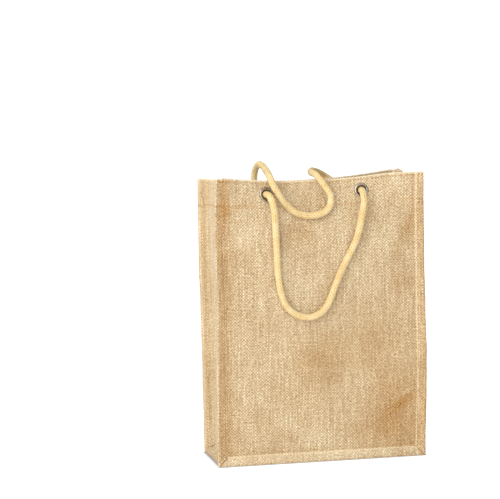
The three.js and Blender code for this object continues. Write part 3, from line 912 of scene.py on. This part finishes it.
def gusset_piece(name):
    gusset = GUSSETS[name]
    end, out = gusset["end"], gusset["out"]
    root = bottom_root(SIDES["front"])
    heights = cloth_heights(root + TURN / 2)
    shares = evenly(1, 0, 2 * FINE_STEP / SEAM)
    across = round((DEPTH - 2 * TURN) / FIELD_STEP)
    lowest = root + MITRE - root * shares  # a side fin reaches down along its mitre
    lines = []
    for height in heights:
        risen = (height - heights[0]) / (HEIGHT - heights[0])
        levels = lowest + (HEIGHT - lowest) * risen
        back, front = (
            [side_flange(side, end, share, level) for share, level in zip(shares, levels)]
            for side in ("back", "front")
        )
        lines.append(np.vstack([back, web_line(gusset, height, across), front[::-1]]))
    points = np.array(lines)
    fin = len(shares)
    soften(points, fin - 2, fin + 2)
    soften(points, -fin - 2, -fin + 2)

    web = slice(fin - 1, points.shape[1] - fin + 1)
    tip = out * (HALF_WIDTH - LEDGE_INSET)
    across_web = np.linspace(0, 1, len(points[0, web]))
    ledge = []
    for share, drop in LEDGE_LINES:
        line = points[0].copy()
        line[web, 0] += (tip - line[web, 0]) * share
        line[web, 1] = seam_to_seam(line[web, 0], across_web, end)
        line[web, 2] = LEDGE_ROOT + (LEDGE_TIP - LEDGE_ROOT) * drop
        ledge.append(line)
    corner = points[0].copy()
    corner[web, 2] = LEDGE_ROOT + CORNER_RISE
    points = np.concatenate([ledge, [corner], points])
    extra = len(ledge) + 1
    present = np.ones(points.shape[:2], bool)
    present[:extra] = False
    present[:extra, web] = True

    below = heights[0] - BEND_SPACING - LEDGE_SPACING * np.arange(extra)[::-1]
    level = np.concatenate([below, heights])[:, None]
    run = run_along(points[extra])
    flat = np.stack(np.broadcast_arrays(run[None, :], level), axis=-1)
    column = np.arange(points.shape[1])
    edge = np.minimum(column, column[::-1]) - fin  # columns inwards from a fin's root
    turned = np.maximum(1 - edge[None, :], (level - HEM_LINE) / TURN)
    # painted highlight on the fins' tips and painted shade at their roots
    painted_light_and_wear = bells(level, GUSSET_PAINTED_LIGHT) + bells(edge, ((0.5, -fin, 1.2), (-0.15, 0, 1.5)))
    piece = cloth_piece(
        f"{name}_gusset_cloth", points, turned, flat, painted_light_and_wear, present, flip=out > 0
    )
    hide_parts(f"{name}_gusset")
    return piece


for name in GUSSETS:
    cloth = gusset_piece(name)
    print(cloth.name, len(cloth.data.polygons), "faces")

# %% [markdown]
# ## The base
# The base closes the bag below. Its long edges turn down behind the bottom fins of the
# panels, so the bag stands on the edges of these seams, and its short edges lie under the
# ledges of the gussets. A plane with its edges extruded down would come close, but the
# edges have to follow the fins, so this grid too is laid out row by row.

# %% Base
BASE_ROWS = 30  # from the back seam to the front seam
BASE_DARKER = 0.3  # how much darker the base's field is painted than its turned seams


def base_seam(name, inner):
    """Lines of the base's long edge behind a bottom fin, from the fin's tip up."""
    side = SIDES[name]
    outer = np.linspace(fin_tip(side, 0, 0.0) + GAP, fin_tip(side, 1, 0.0) - GAP, len(inner))
    lines = []
    for share in evenly(0, 1, 2 * FINE_STEP / SEAM):
        height = np.full(len(inner), (bottom_root(side) - BASE_DROP) * share)
        line = flange(name, side["bottom_flare"], outer + (inner - outer) * share, height)
        line[:, 2] = height
        lines.append(line)
    return lines


def base_piece():
    inner_ends = [
        out * (np.abs(web_line(gusset, 0, BASE_ROWS)[:, 0]).min() - DOUBLE - 2 * GAP)
        for out, gusset in ((-1, GUSSETS["left"]), (1, GUSSETS["right"]))
    ]
    inner = evenly(*inner_ends, FIELD_STEP)
    back, front = base_seam("back", inner), base_seam("front", inner)[::-1]
    ledge = evenly(0, 1, 0.25)[:-1]
    count = len(ledge)
    tips = [out * (HALF_WIDTH - LEDGE_INSET) for out in (-1, 1)]
    left = tips[0] + (inner[0] - tips[0]) * ledge
    right = tips[1] + (inner[-1] - tips[1]) * ledge[::-1]
    x = np.concatenate([left, inner, right])
    edge = LEDGE_TIP + (LEDGE_ROOT - LEDGE_TIP) * ledge
    middle = []
    for share in np.linspace(0, 1, BASE_ROWS):
        y_back, y_front = back[-1][0, 1] - TURN, front[0][0, 1] + TURN
        y = y_back + (y_front - y_back) * share
        sag = BASE_SAG * arch(inner, 0, inner[-1]) * arch(y, 0, DEPTH / 2)
        z = np.concatenate([edge, LEDGE_ROOT - sag, edge[::-1]]) - DOUBLE - GAP
        line = np.column_stack([x, np.full(len(x), y), z])
        line[:count, 1] = seam_to_seam(left, share, 0)
        line[-count:, 1] = seam_to_seam(right, share, 1)
        middle.append(line)
    padding = ((0, 0), (count, count), (0, 0))  # the seams have no ledge beside them
    points = np.concatenate([np.pad(back, padding, "edge"), middle,
                             np.pad(front, padding, "edge")])
    field = slice(len(back), -len(front))
    present = np.zeros(points.shape[:2], bool)
    present[:, count:-count] = present[field] = True
    turned = np.ones(points.shape[:2])
    turned[field] = 0
    run = run_along(points[:, points.shape[1] // 2])
    flat = np.stack(np.broadcast_arrays(x[None, :], run[:, None]), axis=-1)
    piece = cloth_piece("base_cloth", points, turned, flat, BASE_DARKER * (turned - 1), present)
    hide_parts("base_panel")
    return piece


cloth = base_piece()
print(cloth.name, len(cloth.data.polygons), "faces")

# %% [markdown]
# ## Stitches
# The seams and the hem are held by a lockstitch in jute-coloured thread. It could be drawn
# on the cloth, but a thread that stands out catches the light. So one stitch is modelled
# by hand: a short thread whose ends dip into the cloth. It is then repeated along each
# sewn line, twenty faces at a time, as one mesh for each panel.

# %% One stitch
STITCH_PITCH = 4.4
STITCH_LENGTH = 3.5
MIDDLE_SHARE = 0.6  # of that length lies straight on the cloth
THREAD_RADIUS = 0.5
THREAD_TAPER = 0.55  # of the thread's width is left where it dips in


def one_stitch():
    """Corners and faces of one stitch along X, with +Z out of the cloth, in mm."""
    bpy.ops.object.select_all(action="DESELECT")
    bpy.ops.mesh.primitive_cylinder_add(
        vertices=6, radius=THREAD_RADIUS, depth=STITCH_LENGTH * MIDDLE_SHARE,
        end_fill_type="NGON", rotation=(0, math.pi / 2, 0),
    )
    piece = bpy.context.object
    bpy.ops.object.transform_apply(rotation=True)
    dip = STITCH_LENGTH * (1 - MIDDLE_SHARE) / 2
    bpy.ops.object.mode_set(mode="EDIT")
    bpy.ops.mesh.select_mode(type="FACE")
    for end in (-1, 1):
        bpy.ops.mesh.select_all(action="DESELECT")
        bpy.ops.object.mode_set(mode="OBJECT")
        for face in piece.data.polygons:
            face.select = face.normal.x * end > 0.9
        bpy.ops.object.mode_set(mode="EDIT")
        bpy.ops.mesh.extrude_region_move(
            TRANSFORM_OT_translate={"value": (end * dip, 0, -THREAD_RADIUS)}
        )
        bpy.ops.transform.resize(value=(1, THREAD_TAPER, THREAD_TAPER))
    bpy.ops.object.mode_set(mode="OBJECT")
    corners = np.array([vertex.co[:] for vertex in piece.data.vertices])
    faces = [list(face.vertices) for face in piece.data.polygons]
    bpy.data.objects.remove(piece, do_unlink=True)
    return corners, faces


STITCH_CORNERS, STITCH_FACES = one_stitch()
print("one stitch:", len(STITCH_FACES), "faces")

# %% [markdown]
# A sewn line is a row of points on the cloth with the direction out of it. The stitches
# run along the fins at their roots, on the panel's side and on the gusset's side, along
# the bottom seam, and along the hem, outside and inside.

# %% Sewn lines
SEAM_POINTS, HEM_POINTS = 400, 300  # along a line, before its stitches are spaced
THREAD_RISE = 0.1  # of a thread's middle over the cloth
THREAD_SUNK = -0.25  # where it is pulled in deep, at the left seam and the hem


def unit(vectors):
    return vectors / np.linalg.norm(vectors, axis=1)[:, None]


def joined_piece(name, parts):
    """One smooth piece from the corners and faces of many parts."""
    corners, faces = [], []
    for part_corners, part_faces in parts:
        faces.extend([[len(corners) + corner for corner in face] for face in part_faces])
        corners.extend(part_corners)
    piece = new_piece(name, corners, faces)
    piece.data.shade_smooth()
    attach(piece, "root")
    return piece


def sewn_line(name, x, height, back=0.0, rise=THREAD_RISE):
    """Stitches along a line on a panel, or on what lies a distance behind its right side."""
    across = surface(name, x + 1, height) - surface(name, x - 1, height)
    up = surface(name, x, height + 1) - surface(name, x, height - 1)
    normals = unit(np.cross(across, up) * -SIDES[name]["out"])
    points = surface(name, x, height) + normals * rise
    if back:
        points[:, 1] -= SIDES[name]["out"] * back
        normals = -normals
    run = run_along(points)
    at = np.arange(STITCH_PITCH / 2, run[-1] - STITCH_PITCH / 2, STITCH_PITCH)
    ahead = unit(points_at(at + 1, run, points) - points_at(at - 1, run, points))
    out = points_at(at, run, normals)
    out = unit(out - ahead * np.sum(out * ahead, axis=1)[:, None])
    spots = points_at(at, run, points)[:, None]
    turns = np.stack([ahead, np.cross(out, ahead), out], axis=1)
    return [(corners, STITCH_FACES) for corners in spots + STITCH_CORNERS @ turns]


def panel_stitches(name):
    side = SIDES[name]
    height = np.linspace(bottom_sewn_at(side), HEIGHT - 2, SEAM_POINTS)
    sewn = []
    for end, rise in ((0, THREAD_SUNK), (1, THREAD_RISE)):
        x = sewn_at(side, end, height)
        sewn += sewn_line(name, x, height, rise=rise)
        sewn += sewn_line(name, x, height, back=seam_stack(side["flare"][end]))
    x = np.linspace(sewn_at(side, 0, 0.0), sewn_at(side, 1, 0.0), HEM_POINTS)
    sewn += sewn_line(name, x, bottom_sewn_at(side) * HEIGHT / rim_height(side, x))
    hem = np.full(HEM_POINTS, HEM_LINE)
    sewn += sewn_line(name, x, hem, rise=THREAD_SUNK)
    sewn += sewn_line(name, x, hem, back=DOUBLE)
    return joined_piece(f"stitches_{name}", sewn)


for name in SIDES:
    sewn = panel_stitches(name)
    print(sewn.name, len(sewn.data.polygons) // len(STITCH_FACES), "stitches")

# %% [markdown]
# ## Loose fibres
# Jute sheds. Single fibres stand out of every folded edge, most of all along the rim and
# the fins, and soften the outline. A particle system could grow them, but a seeded list of
# thin bent tubes is plain geometry that exports as it is. A thicker tube is the end of
# sewing thread that lies on the back rim.

# %% Loose fibres
FIBRE_LENGTH = (2.0, 6.5)
FIBRE_RADIUS = 0.13  # thicker than a real one, so that it still shows
FIBRE_STRAY, FIBRE_BEND = 0.55, 0.45  # off its way and off a straight line
FIBRE_PUSH = 0.7  # outwards, against those two
RIM_FIBRES, FIN_FIBRES = 170, 120  # along each rim and each side fin
LOWEST_FIBRE = 4.0
ROOT_DEPTH = 0.5  # from the edge to where a fibre comes out
TAPER = 0.35  # of a fibre's width is left at its tip
THREAD_END = ((4, 0.2), (8, 1.0), (12, 0.7), (15, 1.6), (19, 0.8), (24, 0.2))  # inwards, up
random = np.random.default_rng(7)


def thin_tube(path, radius):
    """Corners and faces of a closed three-sided tube that tapers along a path."""
    _, sides, others = carried_frames(np.array(path))
    width = radius * np.linspace(1, TAPER, len(path))[:, None]
    corners = [path + width * (math.cos(turn) * sides + math.sin(turn) * others)
               for turn in (0, 2 * math.pi / 3, 4 * math.pi / 3)]
    last = 3 * (len(path) - 1)
    faces = [[0, 1, 2], [last + 2, last + 1, last]]
    for ring in range(0, last, 3):
        for at, following in ((0, 1), (1, 2), (2, 0)):
            faces.append([ring + following, ring + at, ring + at + 3, ring + following + 3])
    return np.stack(corners, axis=1).reshape(-1, 3), faces


def one_fibre(root, way):
    """A bent fibre from a root, roughly one way."""
    heading = way + random.normal(0, FIBRE_STRAY, 3)
    bend = random.normal(0, FIBRE_BEND, 3)
    share = np.linspace(-0.15, 1, 5)[:, None]
    path = root + random.uniform(*FIBRE_LENGTH) * (share * heading + share**2 * bend)
    path[:, 2] = np.maximum(path[:, 2], FIBRE_RADIUS)  # it lies on the floor at the most
    return thin_tube(path, FIBRE_RADIUS)


def panel_fibres(name):
    """Fibres out of a panel's rim and out of its two side fins."""
    side = SIDES[name]
    inwards = np.array([0, -side["out"] * LAYER, 0])
    for x in random.uniform(*side["tip_at_rim"], RIM_FIBRES):
        yield one_fibre(surface(name, x, HEIGHT - ROOT_DEPTH) + inwards, (0, 0, FIBRE_PUSH))
    for end, outward in ((0, -1), (1, 1)):
        for height in random.uniform(LOWEST_FIBRE, HEIGHT, FIN_FIBRES):
            x = fin_tip(side, end, height) - outward * ROOT_DEPTH
            yield one_fibre(surface(name, x, height) + inwards, (outward * FIBRE_PUSH, 0, 0))


tubes = [*panel_fibres("front"), *panel_fibres("back")]
rim_end = SIDES["back"]["tip_at_rim"][1]
tubes.append(thin_tube([
    surface("back", rim_end - inward, HEIGHT) + (0, -LAYER, lift) for inward, lift in THREAD_END
], 2 * THREAD_RADIUS))
fibres = joined_piece("loose_fibres", tubes)
print("loose fibres:", len(tubes))

# %% [markdown]
# ## Eyelets and washers
# An eyelet is one turned part: a rounded flange on the hem's right side, a barrel through
# the cloth, and a lip that is rolled out over a washer on the wrong side. The spin tool
# could sweep its outline. Here a ring of edges is extruded and scaled from corner to corner
# of the outline instead, which keeps the ring even, and the last is merged with the first.

# %% Metal rings
EYELET_OUTLINE = (  # radius and height out of the cloth, from the flange's foot inwards
    (10.0, 0.35), (9.9, 0.95), (9.45, 1.5), (8.8, 1.82), (8.1, 1.92), (7.4, 1.78),
    (6.85, 1.42), (6.45, 0.9), (6.25, 0.2), (6.2, -3.6), (6.45, -4.25), (7.1, -4.6),
    (7.9, -4.7), (8.3, -4.5), (8.25, -4.15), (7.4, -4.1), (6.8, -3.7), (6.8, 0.3),
)
WASHER_OUTLINE = (
    (7.1, -3.15), (9.7, -3.1), (10.0, -3.25), (10.0, -3.6), (9.6, -3.8), (7.4, -3.8),
    (7.1, -3.65),
)
RING_CORNERS = 64
RING_SMOOTH = 40  # degrees, up to which a bend is shaded as round


def turned_ring(name, outline, point, normal):
    """A ring spun from an outline of radius and height, set on a spot in mm."""
    bpy.ops.object.select_all(action="DESELECT")
    radius, height = outline[0]
    bpy.ops.mesh.primitive_circle_add(
        vertices=RING_CORNERS, radius=radius, location=(0, 0, height)
    )
    piece = bpy.context.object
    piece.name = name
    piece.data.name = name
    bpy.ops.object.transform_apply(location=True)
    bpy.ops.object.mode_set(mode="EDIT")
    bpy.ops.mesh.select_mode(type="EDGE")
    bpy.ops.mesh.select_all(action="SELECT")
    for next_radius, next_height in outline[1:] + outline[:1]:
        bpy.ops.mesh.extrude_region_move(
            TRANSFORM_OT_translate={"value": (0, 0, next_height - height)}
        )
        scale = next_radius / radius
        bpy.ops.transform.resize(value=(scale, scale, 1))
        radius, height = next_radius, next_height
    bpy.ops.mesh.select_all(action="SELECT")
    bpy.ops.mesh.remove_doubles(threshold=1e-3)
    bpy.ops.mesh.normals_make_consistent(inside=False)
    bpy.ops.object.mode_set(mode="OBJECT")
    turn = Vector(normal).to_track_quat("Z", "Y").to_matrix().to_4x4()
    piece.matrix_world = Matrix.Translation(Vector(point) * MM) @ turn @ Matrix.Scale(MM, 4)
    take(piece)
    bpy.ops.object.transform_apply()
    bpy.ops.object.shade_smooth_by_angle(angle=math.radians(RING_SMOOTH))
    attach(piece, "root")
    return piece


metal_rings = []
for name, (side, x, z) in EYELETS.items():
    spot, out = panel_spot(side, x, z)
    for kind, outline in (("eyelet", EYELET_OUTLINE), ("washer", WASHER_OUTLINE)):
        ring = turned_ring(f"spun_{kind}_{name}", outline, spot, out)
        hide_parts(f"{kind}_{name}")
        metal_rings.append(ring)
print("metal rings:", len(metal_rings))

# %% [markdown]
# ## Adding shader nodes
# Colours are written as sRGB hex values, which shaders don't read, so one function turns
# them linear. One more adds a node, with its settings and what goes into it.

# %% Node helpers
def linear(code):
    """An sRGB hex colour as linear red, green, blue and alpha."""
    values = [int(code[at:at + 2], 16) / 255 for at in (1, 3, 5)]
    return [v / 12.92 if v <= 0.04045 else ((v + 0.055) / 1.055) ** 2.4 for v in values] + [1]


def add(tree, kind, *values, inputs=None, stops=None, **settings):
    """Add a node, set it, and fill or link its sockets in order or by name.

    stops are the places and hex colours of a node with a colour ramp.
    """
    node = tree.nodes.new("ShaderNode" + kind)
    for key, value in settings.items():
        setattr(node, key, value)
    for count, (place, code) in enumerate(stops or ()):
        elements = node.color_ramp.elements
        element = elements[count] if count < len(elements) else elements.new(place)
        element.position = place
        element.color = linear(code)
    for socket, value in [*enumerate(values), *(inputs or {}).items()]:
        if isinstance(value, bpy.types.Node):
            value = value.outputs[0]
        if isinstance(value, bpy.types.NodeSocket):
            tree.links.new(value, node.inputs[socket])
        elif value is not None:
            node.inputs[socket].default_value = value
    return node


def new_material(name):
    """A material and its empty tree of nodes."""
    material = bpy.data.materials.new(name)
    material.use_nodes = True
    material.node_tree.nodes.clear()
    return material, material.node_tree


def wear(pieces, material):
    """Give pieces one material, in place of any they had."""
    for piece in pieces:
        piece.data.materials.clear()
        piece.data.materials.append(material)

# %% [markdown]
# ## Natural jute
# Jute is a coarse bast fibre, spun unevenly and woven plain: each thread passes over one
# and under the next. To the eye that gives light crowns and dark hollows, threads that
# differ in colour, thick places called slubs, fibres that lie along their thread, brown
# specks of bark, and slow stains over a hand's breadth. A ready pattern such as a brick or
# a wave would be too even. So the material counts the threads on the UV map, which was
# laid out in the cloth's own measure, and works out each crown from them.

# %% Weave
THREAD_PITCH = 2.1 * MM  # about 1.5 mm on the real cloth, which is too fine to show
DRIFT_SIZE, DRIFT = 28 * MM, (0.9, 0.9, 0.0)  # threads wander by part of a pitch
SLUB_RATE = 0.016  # how much slower a thread changes along itself than from its neighbour
SPINNING = {"Scale": 3.1, "Detail": 2.5, "Roughness": 0.65}
SPUN = (0.3, 0.7)  # the range of that noise
THICKNESS = (0.66, 1.16)  # of a thread, in pitches
CRIMP = 0.45  # by which a thread rises over the one it crosses


def weave(tree, uv):
    """Nodes for the threads: their height, which is on top, and the tone of each."""
    drift = add(tree, "TexNoise", inputs={"Vector": uv, "Scale": 1 / DRIFT_SIZE, "Detail": 2.0})
    drift = add(tree, "VectorMath", drift.outputs["Color"], (0.5, 0.5, 0.5),
                operation="SUBTRACT")
    drift = add(tree, "VectorMath", drift, DRIFT, operation="MULTIPLY")
    counted = add(tree, "VectorMath", uv, inputs={"Scale": 1 / THREAD_PITCH}, operation="SCALE")
    counted = add(tree, "VectorMath", counted, drift, operation="ADD")
    split = add(tree, "SeparateXYZ", counted)
    heights, tones = [], []
    for own, other, crimp in ((0, 1, CRIMP), (1, 0, -CRIMP)):  # warp, then weft
        across, along = split.outputs[own], split.outputs[other]
        number = add(tree, "Math", across, operation="ROUND")
        slow = add(tree, "Math", along, SLUB_RATE, operation="MULTIPLY")
        seat = add(tree, "CombineXYZ", number, slow, 7.7 * own)  # another noise for the weft
        tones.append(add(tree, "TexNoise", inputs={"Vector": seat, **SPINNING}))
        thick = add(tree, "MapRange", tones[-1], *SPUN, *THICKNESS)
        profile = across
        for step, value in (("SUBTRACT", number), ("MULTIPLY", 2.0), ("DIVIDE", thick)):
            profile = add(tree, "Math", profile, value, operation=step)
        profile = add(tree, "Math", profile, profile, operation="MULTIPLY")
        profile = add(tree, "Math", 1.0, profile, operation="SUBTRACT")
        rise = along
        for step, value in (("ADD", number), ("MULTIPLY", math.pi), ("COSINE", None),
                            ("MULTIPLY", crimp), ("ADD", profile)):
            rise = add(tree, "Math", rise, value, operation=step)
        heights.append(rise)
    over = add(tree, "Math", *heights, operation="GREATER_THAN")
    height = add(tree, "Math", *heights, operation="MAXIMUM")
    return height, over, tones


print("threads across a panel:", round(2 * HALF_WIDTH * MM / THREAD_PITCH))

# %% [markdown]
# The colour starts from the weave: how high a place lies and which thread is on top paint
# shade into its hollows, and the fibres in it and its tone vary it, which gives the light
# between a hollow's brown and a crown's straw. The painted highlight and shade of the
# cloth's points, with some wear, and the stains lie over that as thin layers, each with its
# own share.

# %% Jute
FIBRE_GRAIN = 1.75 * MM
FIBRE_LIE = ((1.0, 0.6, 0.0), (0.45, 1.0, 0.0))  # longer up a warp, then along a weft
# the colour of the weave's hollows, painted as their shade
HOLLOW_SHADE = "#856640"
CROWNS = ((0.3, "#ddc49a"), (0.48, "#ead4ab"), (0.62, "#f0dfba"), (0.76, "#fcf0d6"))
SHADES = {  # range of a value and of the light that it gives: over and height paint shade into the weave, fibre and threads vary its tone
    "over": (0.0, 1.0, 0.69, 1.1),  # painted shade: the weft lies deeper than the warp and is painted darker
    # painted shade: the lower a place lies, the darker
    "height": (0.1, 1.2, 0.72, 1.1),
    "fibre": (0.6, 1.4, 0.48, 1.52),
    "threads": (0.1, 0.4, 0.93, 1.07),
}
LIGHT_RANGE = (0.3, 1.48)  # of their product, from hollow to crown
LIGHT_AND_WEAR_LAYERS = (  # what a value of 1 or -1 does: 1 paints a pale highlight and wear, -1 a golden shade and soil: how much, in which colour and how
    (1.0, 0.75, "#f5e3c3", "MIX"),
    (-1.0, 1.0, "#cfa034", "MULTIPLY"),
)
STAINS = (  # size in mm, where in its noise it starts and is full, share and colour
    (80, 0.46, 0.74, 0.4, "#d8bd97"),
    (22, 0.52, 0.74, 0.15, "#ccb69a"),
    (3.2, 0.68, 0.76, 0.8, "#9a7346"),
)
WEAVE_BUMP = {"Distance": 0.45 * MM, "Strength": 0.6}


def woven_jute(name):
    material, tree = new_material(name)
    uv = add(tree, "UVMap", uv_map="weave")
    height, over, tones = weave(tree, uv)
    strokes = []
    for stretch in FIBRE_LIE:
        seat = add(tree, "VectorMath", uv, stretch, operation="MULTIPLY")
        strokes.append(add(tree, "TexNoise", inputs={
            "Vector": seat, "Scale": 1 / FIBRE_GRAIN, "Detail": 1.0,
        }))
    values = {
        "over": over,
        "height": height,
        "fibre": add(tree, "Math", *strokes, operation="ADD"),
        "threads": add(tree, "Math", *tones, operation="MULTIPLY"),
    }
    light = 1.0
    for key, value in values.items():
        shade = add(tree, "MapRange", value, *SHADES[key])
        light = add(tree, "Math", light, shade, operation="MULTIPLY")
    light = add(tree, "MapRange", light, *LIGHT_RANGE, 0.0, 1.0)
    tone = add(tree, "Mix", inputs={0: over, 2: tones[1], 3: tones[0]}, data_type="FLOAT")
    crown = add(tree, "ValToRGB", tone, stops=CROWNS)
    layers = [(light, crown, "MIX")]
    # painted highlight and shade, with some wear, from the values at the cloth's points
    painted_light_and_wear = add(tree, "Attribute", attribute_name="painted_light_and_wear").outputs["Fac"]
    for full, most, code, blend in LIGHT_AND_WEAR_LAYERS:
        share = add(tree, "MapRange", painted_light_and_wear, 0.0, full, 0.0, most)
        layers.append((share, linear(code), blend))
    for size, low, high, most, code in STAINS:
        stain = add(tree, "TexNoise", inputs={
            "Vector": uv, "Scale": 1 / (size * MM), "Detail": 2.5,
        })
        share = add(tree, "MapRange", stain, low, high, 0.0, most)
        layers.append((share, linear(code), "MULTIPLY"))
    colour = linear(HOLLOW_SHADE)
    for share, layer, blend in layers:
        colour = add(tree, "Mix", inputs={0: share, 6: colour, 7: layer}, data_type="RGBA",
                     blend_type=blend).outputs[2]
    bump = add(tree, "Bump", inputs={"Height": height, **WEAVE_BUMP})
    add(tree, "OutputMaterial", add(tree, "BsdfPrincipled", inputs={
        "Base Color": colour, "Normal": bump, "Roughness": 0.92, "Sheen Weight": 0.12,
    }))
    return material


jute = woven_jute("natural_jute_plain_weave")
cloth_pieces = [piece for piece in bpy.data.objects if piece.name.endswith("_cloth")]
wear(cloth_pieces, jute)
print(jute.name, "on", len(cloth_pieces), "pieces")

# %% [markdown]
# ## Cotton rope, thread and nickel
# The rope is soft cotton, unbleached and a little yellow. Its strands are matte, and their
# hollows are painted darker and a warm ochre, as the shade where light bounces between
# fibres and goes some way into the cotton. One even colour would look like plastic, so the
# colour follows the height of the plait as painted shade, fine lines along each strand are
# its yarns, and a slow noise mottles it. The eyelets are steel with a dark nickel plate,
# polished by their press, so they mirror the studio, with a haze of hair-fine scratches.

# %% Cotton, thread and nickel
# painted shade: a dark, warm ochre deep in the plait's hollows, up to pale straw on its crowns
COTTON = ((0.0, "#965f20"), (0.22, "#c2934c"), (0.55, "#d5b87e"), (1.0, "#dccba1"))
COTTON_RANGE = (1.1, 2.05)  # of height, yarns and mottle, added up
YARN_BUMP = {"Distance": 0.25 * MM, "Strength": 0.5}
YARNS = 6.0  # in a strand
MOTTLE = 9 * MM


def braided_cotton(name):
    material, tree = new_material(name)
    crown = add(tree, "Attribute", attribute_name="crown").outputs["Fac"]
    over = add(tree, "Attribute", attribute_name="over").outputs["Fac"]
    split = add(tree, "SeparateXYZ", add(tree, "UVMap", uv_map="strands"))
    count = add(tree, "Mix", inputs={0: over, 2: split.outputs[1], 3: split.outputs[0]},
                data_type="FLOAT")
    yarns = add(tree, "TexNoise", inputs={"W": count, "Scale": YARNS, "Detail": 1.0},
                noise_dimensions="1D")
    mottle = add(tree, "TexNoise", inputs={
        "Vector": add(tree, "TexCoord").outputs["Object"], "Scale": 1 / MOTTLE, "Detail": 3.0,
    })
    shade = add(tree, "Math", crown, yarns, operation="ADD")
    shade = add(tree, "Math", shade, mottle, operation="ADD")
    shade = add(tree, "MapRange", shade, *COTTON_RANGE, 0.0, 1.0)
    colour = add(tree, "ValToRGB", shade, stops=COTTON)
    bump = add(tree, "Bump", inputs={"Height": yarns, **YARN_BUMP})
    add(tree, "OutputMaterial", add(tree, "BsdfPrincipled", inputs={
        "Base Color": colour, "Normal": bump, "Roughness": 0.9, "Subsurface Weight": 0.2,
        "Subsurface Radius": (1.0, 0.45, 0.15), "Subsurface Scale": 2.5 * MM,
    }))
    return material


def two_toned(name, size, detail, dark, light, shine=None, **sockets):
    """A material of two tones in spots of a size, which may also vary its roughness."""
    material, tree = new_material(name)
    place = add(tree, "TexCoord").outputs["Object"]
    spots = add(tree, "TexNoise", inputs={"Vector": place, "Scale": 1 / size, "Detail": detail})
    sockets["Base Color"] = add(tree, "ValToRGB", spots, stops=((0.3, dark), (0.7, light)))
    if shine:
        sockets["Roughness"] = add(tree, "MapRange", spots, 0.3, 0.7, *shine)
    add(tree, "OutputMaterial", add(tree, "BsdfPrincipled", inputs=sockets))
    return material


cotton = braided_cotton("unbleached_braided_cotton")
thread = two_toned(  # matte, with the twist of its yarns
    "spun_polyester_thread", 2.5 * MM, 2.0, "#cfb081", "#ecd7b0", Roughness=0.8
)
loose_jute = two_toned(  # paler than the cloth, because light shines through a fibre
    "loose_jute_fibre", 2.5 * MM, 2.0, "#c9a877", "#f0dcb6", Roughness=0.8
)
nickel = two_toned(  # a dark mirror with a slight haze
    "dark_nickel_plate", 3 * MM, 4.0, "#948c82", "#bab2a7", shine=(0.06, 0.16), Metallic=1.0
)
wear([front_rope, back_rope, *knots.values()], cotton)
wear([piece for piece in bpy.data.objects if piece.name.startswith("stitches_")], thread)
wear([fibres], loose_jute)
wear(metal_rings, nickel)
print("materials:", [material.name for material in (cotton, thread, loose_jute, nickel)])

# %% [markdown]
# ## Floor and light
# A product photographer sets such a bag on a sheet of white acrylic that is lit from
# below, so that hardly a shadow is left, with a large soft box high on the left. The floor
# could be plain white, but then the bag would stand in its own grey shadow. So it glows,
# and its glow is turned down right below the bag and beside it, which paints a small
# contact shadow there. The room is white to the camera. As a light it is bright on the
# soft box's side and dim on the other, which keeps some shade on the right.

# %% Studio
FLOOR_SIZE = 30  # m, so that its edge is never seen
STOOD_ON = (0.146, 0.052, 1.0)  # half the bag's footprint in m, at any height
FLOOR_GRAIN = 25 * MM
PAINTED_SHADOW_FADE = 10 * MM  # over which the painted contact shadow fades beside the bag
GLOW_AND_PAINTED_SHADOW = (0.15, 0.95)  # below the bag, dimmed as its painted contact shadow, and beside it
bpy.ops.object.select_all(action="DESELECT")
bpy.ops.mesh.primitive_plane_add(size=FLOOR_SIZE)
floor = bpy.context.object
floor.name = "floor"
acrylic, tree = new_material("white_acrylic_with_painted_shadow")
beside = add(tree, "TexCoord").outputs["Object"]
grain = add(tree, "TexNoise", inputs={"Vector": beside, "Scale": 1 / FLOOR_GRAIN})
colour = add(tree, "ValToRGB", grain, stops=((0.3, "#989898"), (0.7, "#9c9c9c")))
for step, value in (("ABSOLUTE", None), ("SUBTRACT", STOOD_ON), ("MAXIMUM", (0, 0, 0))):
    beside = add(tree, "VectorMath", beside, value, operation=step)
beside = add(tree, "VectorMath", beside, operation="LENGTH").outputs["Value"]
# the glow is dimmed round the bag's footprint: a painted contact shadow
glow = add(tree, "MapRange", beside, 0.0, PAINTED_SHADOW_FADE, *GLOW_AND_PAINTED_SHADOW,
           interpolation_type="SMOOTHSTEP")
add(tree, "OutputMaterial", add(tree, "BsdfPrincipled", inputs={
    "Base Color": colour, "Roughness": 0.6, "Emission Color": linear("#ffffff"),
    "Emission Strength": glow,
}))
wear([floor], acrylic)

LIGHT_PLACE = Vector((-1.0, -1.0, 1.05))
LIGHT_AIM = Vector((0.0, 0.0, 0.2))
LIGHT_SIZE = 1.4  # m, the side of the square soft box
LIGHT_POWER = 17.6  # W
ROOM_LIGHT = (0.35, 1.13)  # away from the soft box and beside it
ROOM_TURN = (-0.3, 1.0)  # where between those two, as a cosine
ROOM_SEEN = 1.1  # pure white to the camera
to_light = (LIGHT_PLACE - LIGHT_AIM).normalized()
world = bpy.data.worlds.new("white_room")
bpy.context.scene.world = world
world.use_nodes = True
tree = world.node_tree
tree.nodes.clear()
towards = add(tree, "VectorMath", add(tree, "TexCoord").outputs["Generated"], to_light,
              operation="DOT_PRODUCT").outputs["Value"]
glow = add(tree, "MapRange", towards, *ROOM_TURN, *ROOM_LIGHT, interpolation_type="SMOOTHSTEP")
seen = add(tree, "LightPath").outputs["Is Camera Ray"]
strength = add(tree, "Mix", inputs={0: seen, 2: glow, 3: ROOM_SEEN}, data_type="FLOAT")
add(tree, "OutputWorld", add(tree, "Background", linear("#ffffff"), strength))

bpy.ops.object.light_add(type="AREA", location=LIGHT_PLACE)
soft_box = bpy.context.object
soft_box.name = "soft_box"
soft_box.data.size = LIGHT_SIZE
soft_box.data.energy = LIGHT_POWER
soft_box.rotation_euler = to_light.to_track_quat("Z", "Y").to_euler()
bpy.context.scene.view_settings.view_transform = "Standard"
print("light from", [round(value, 2) for value in to_light])
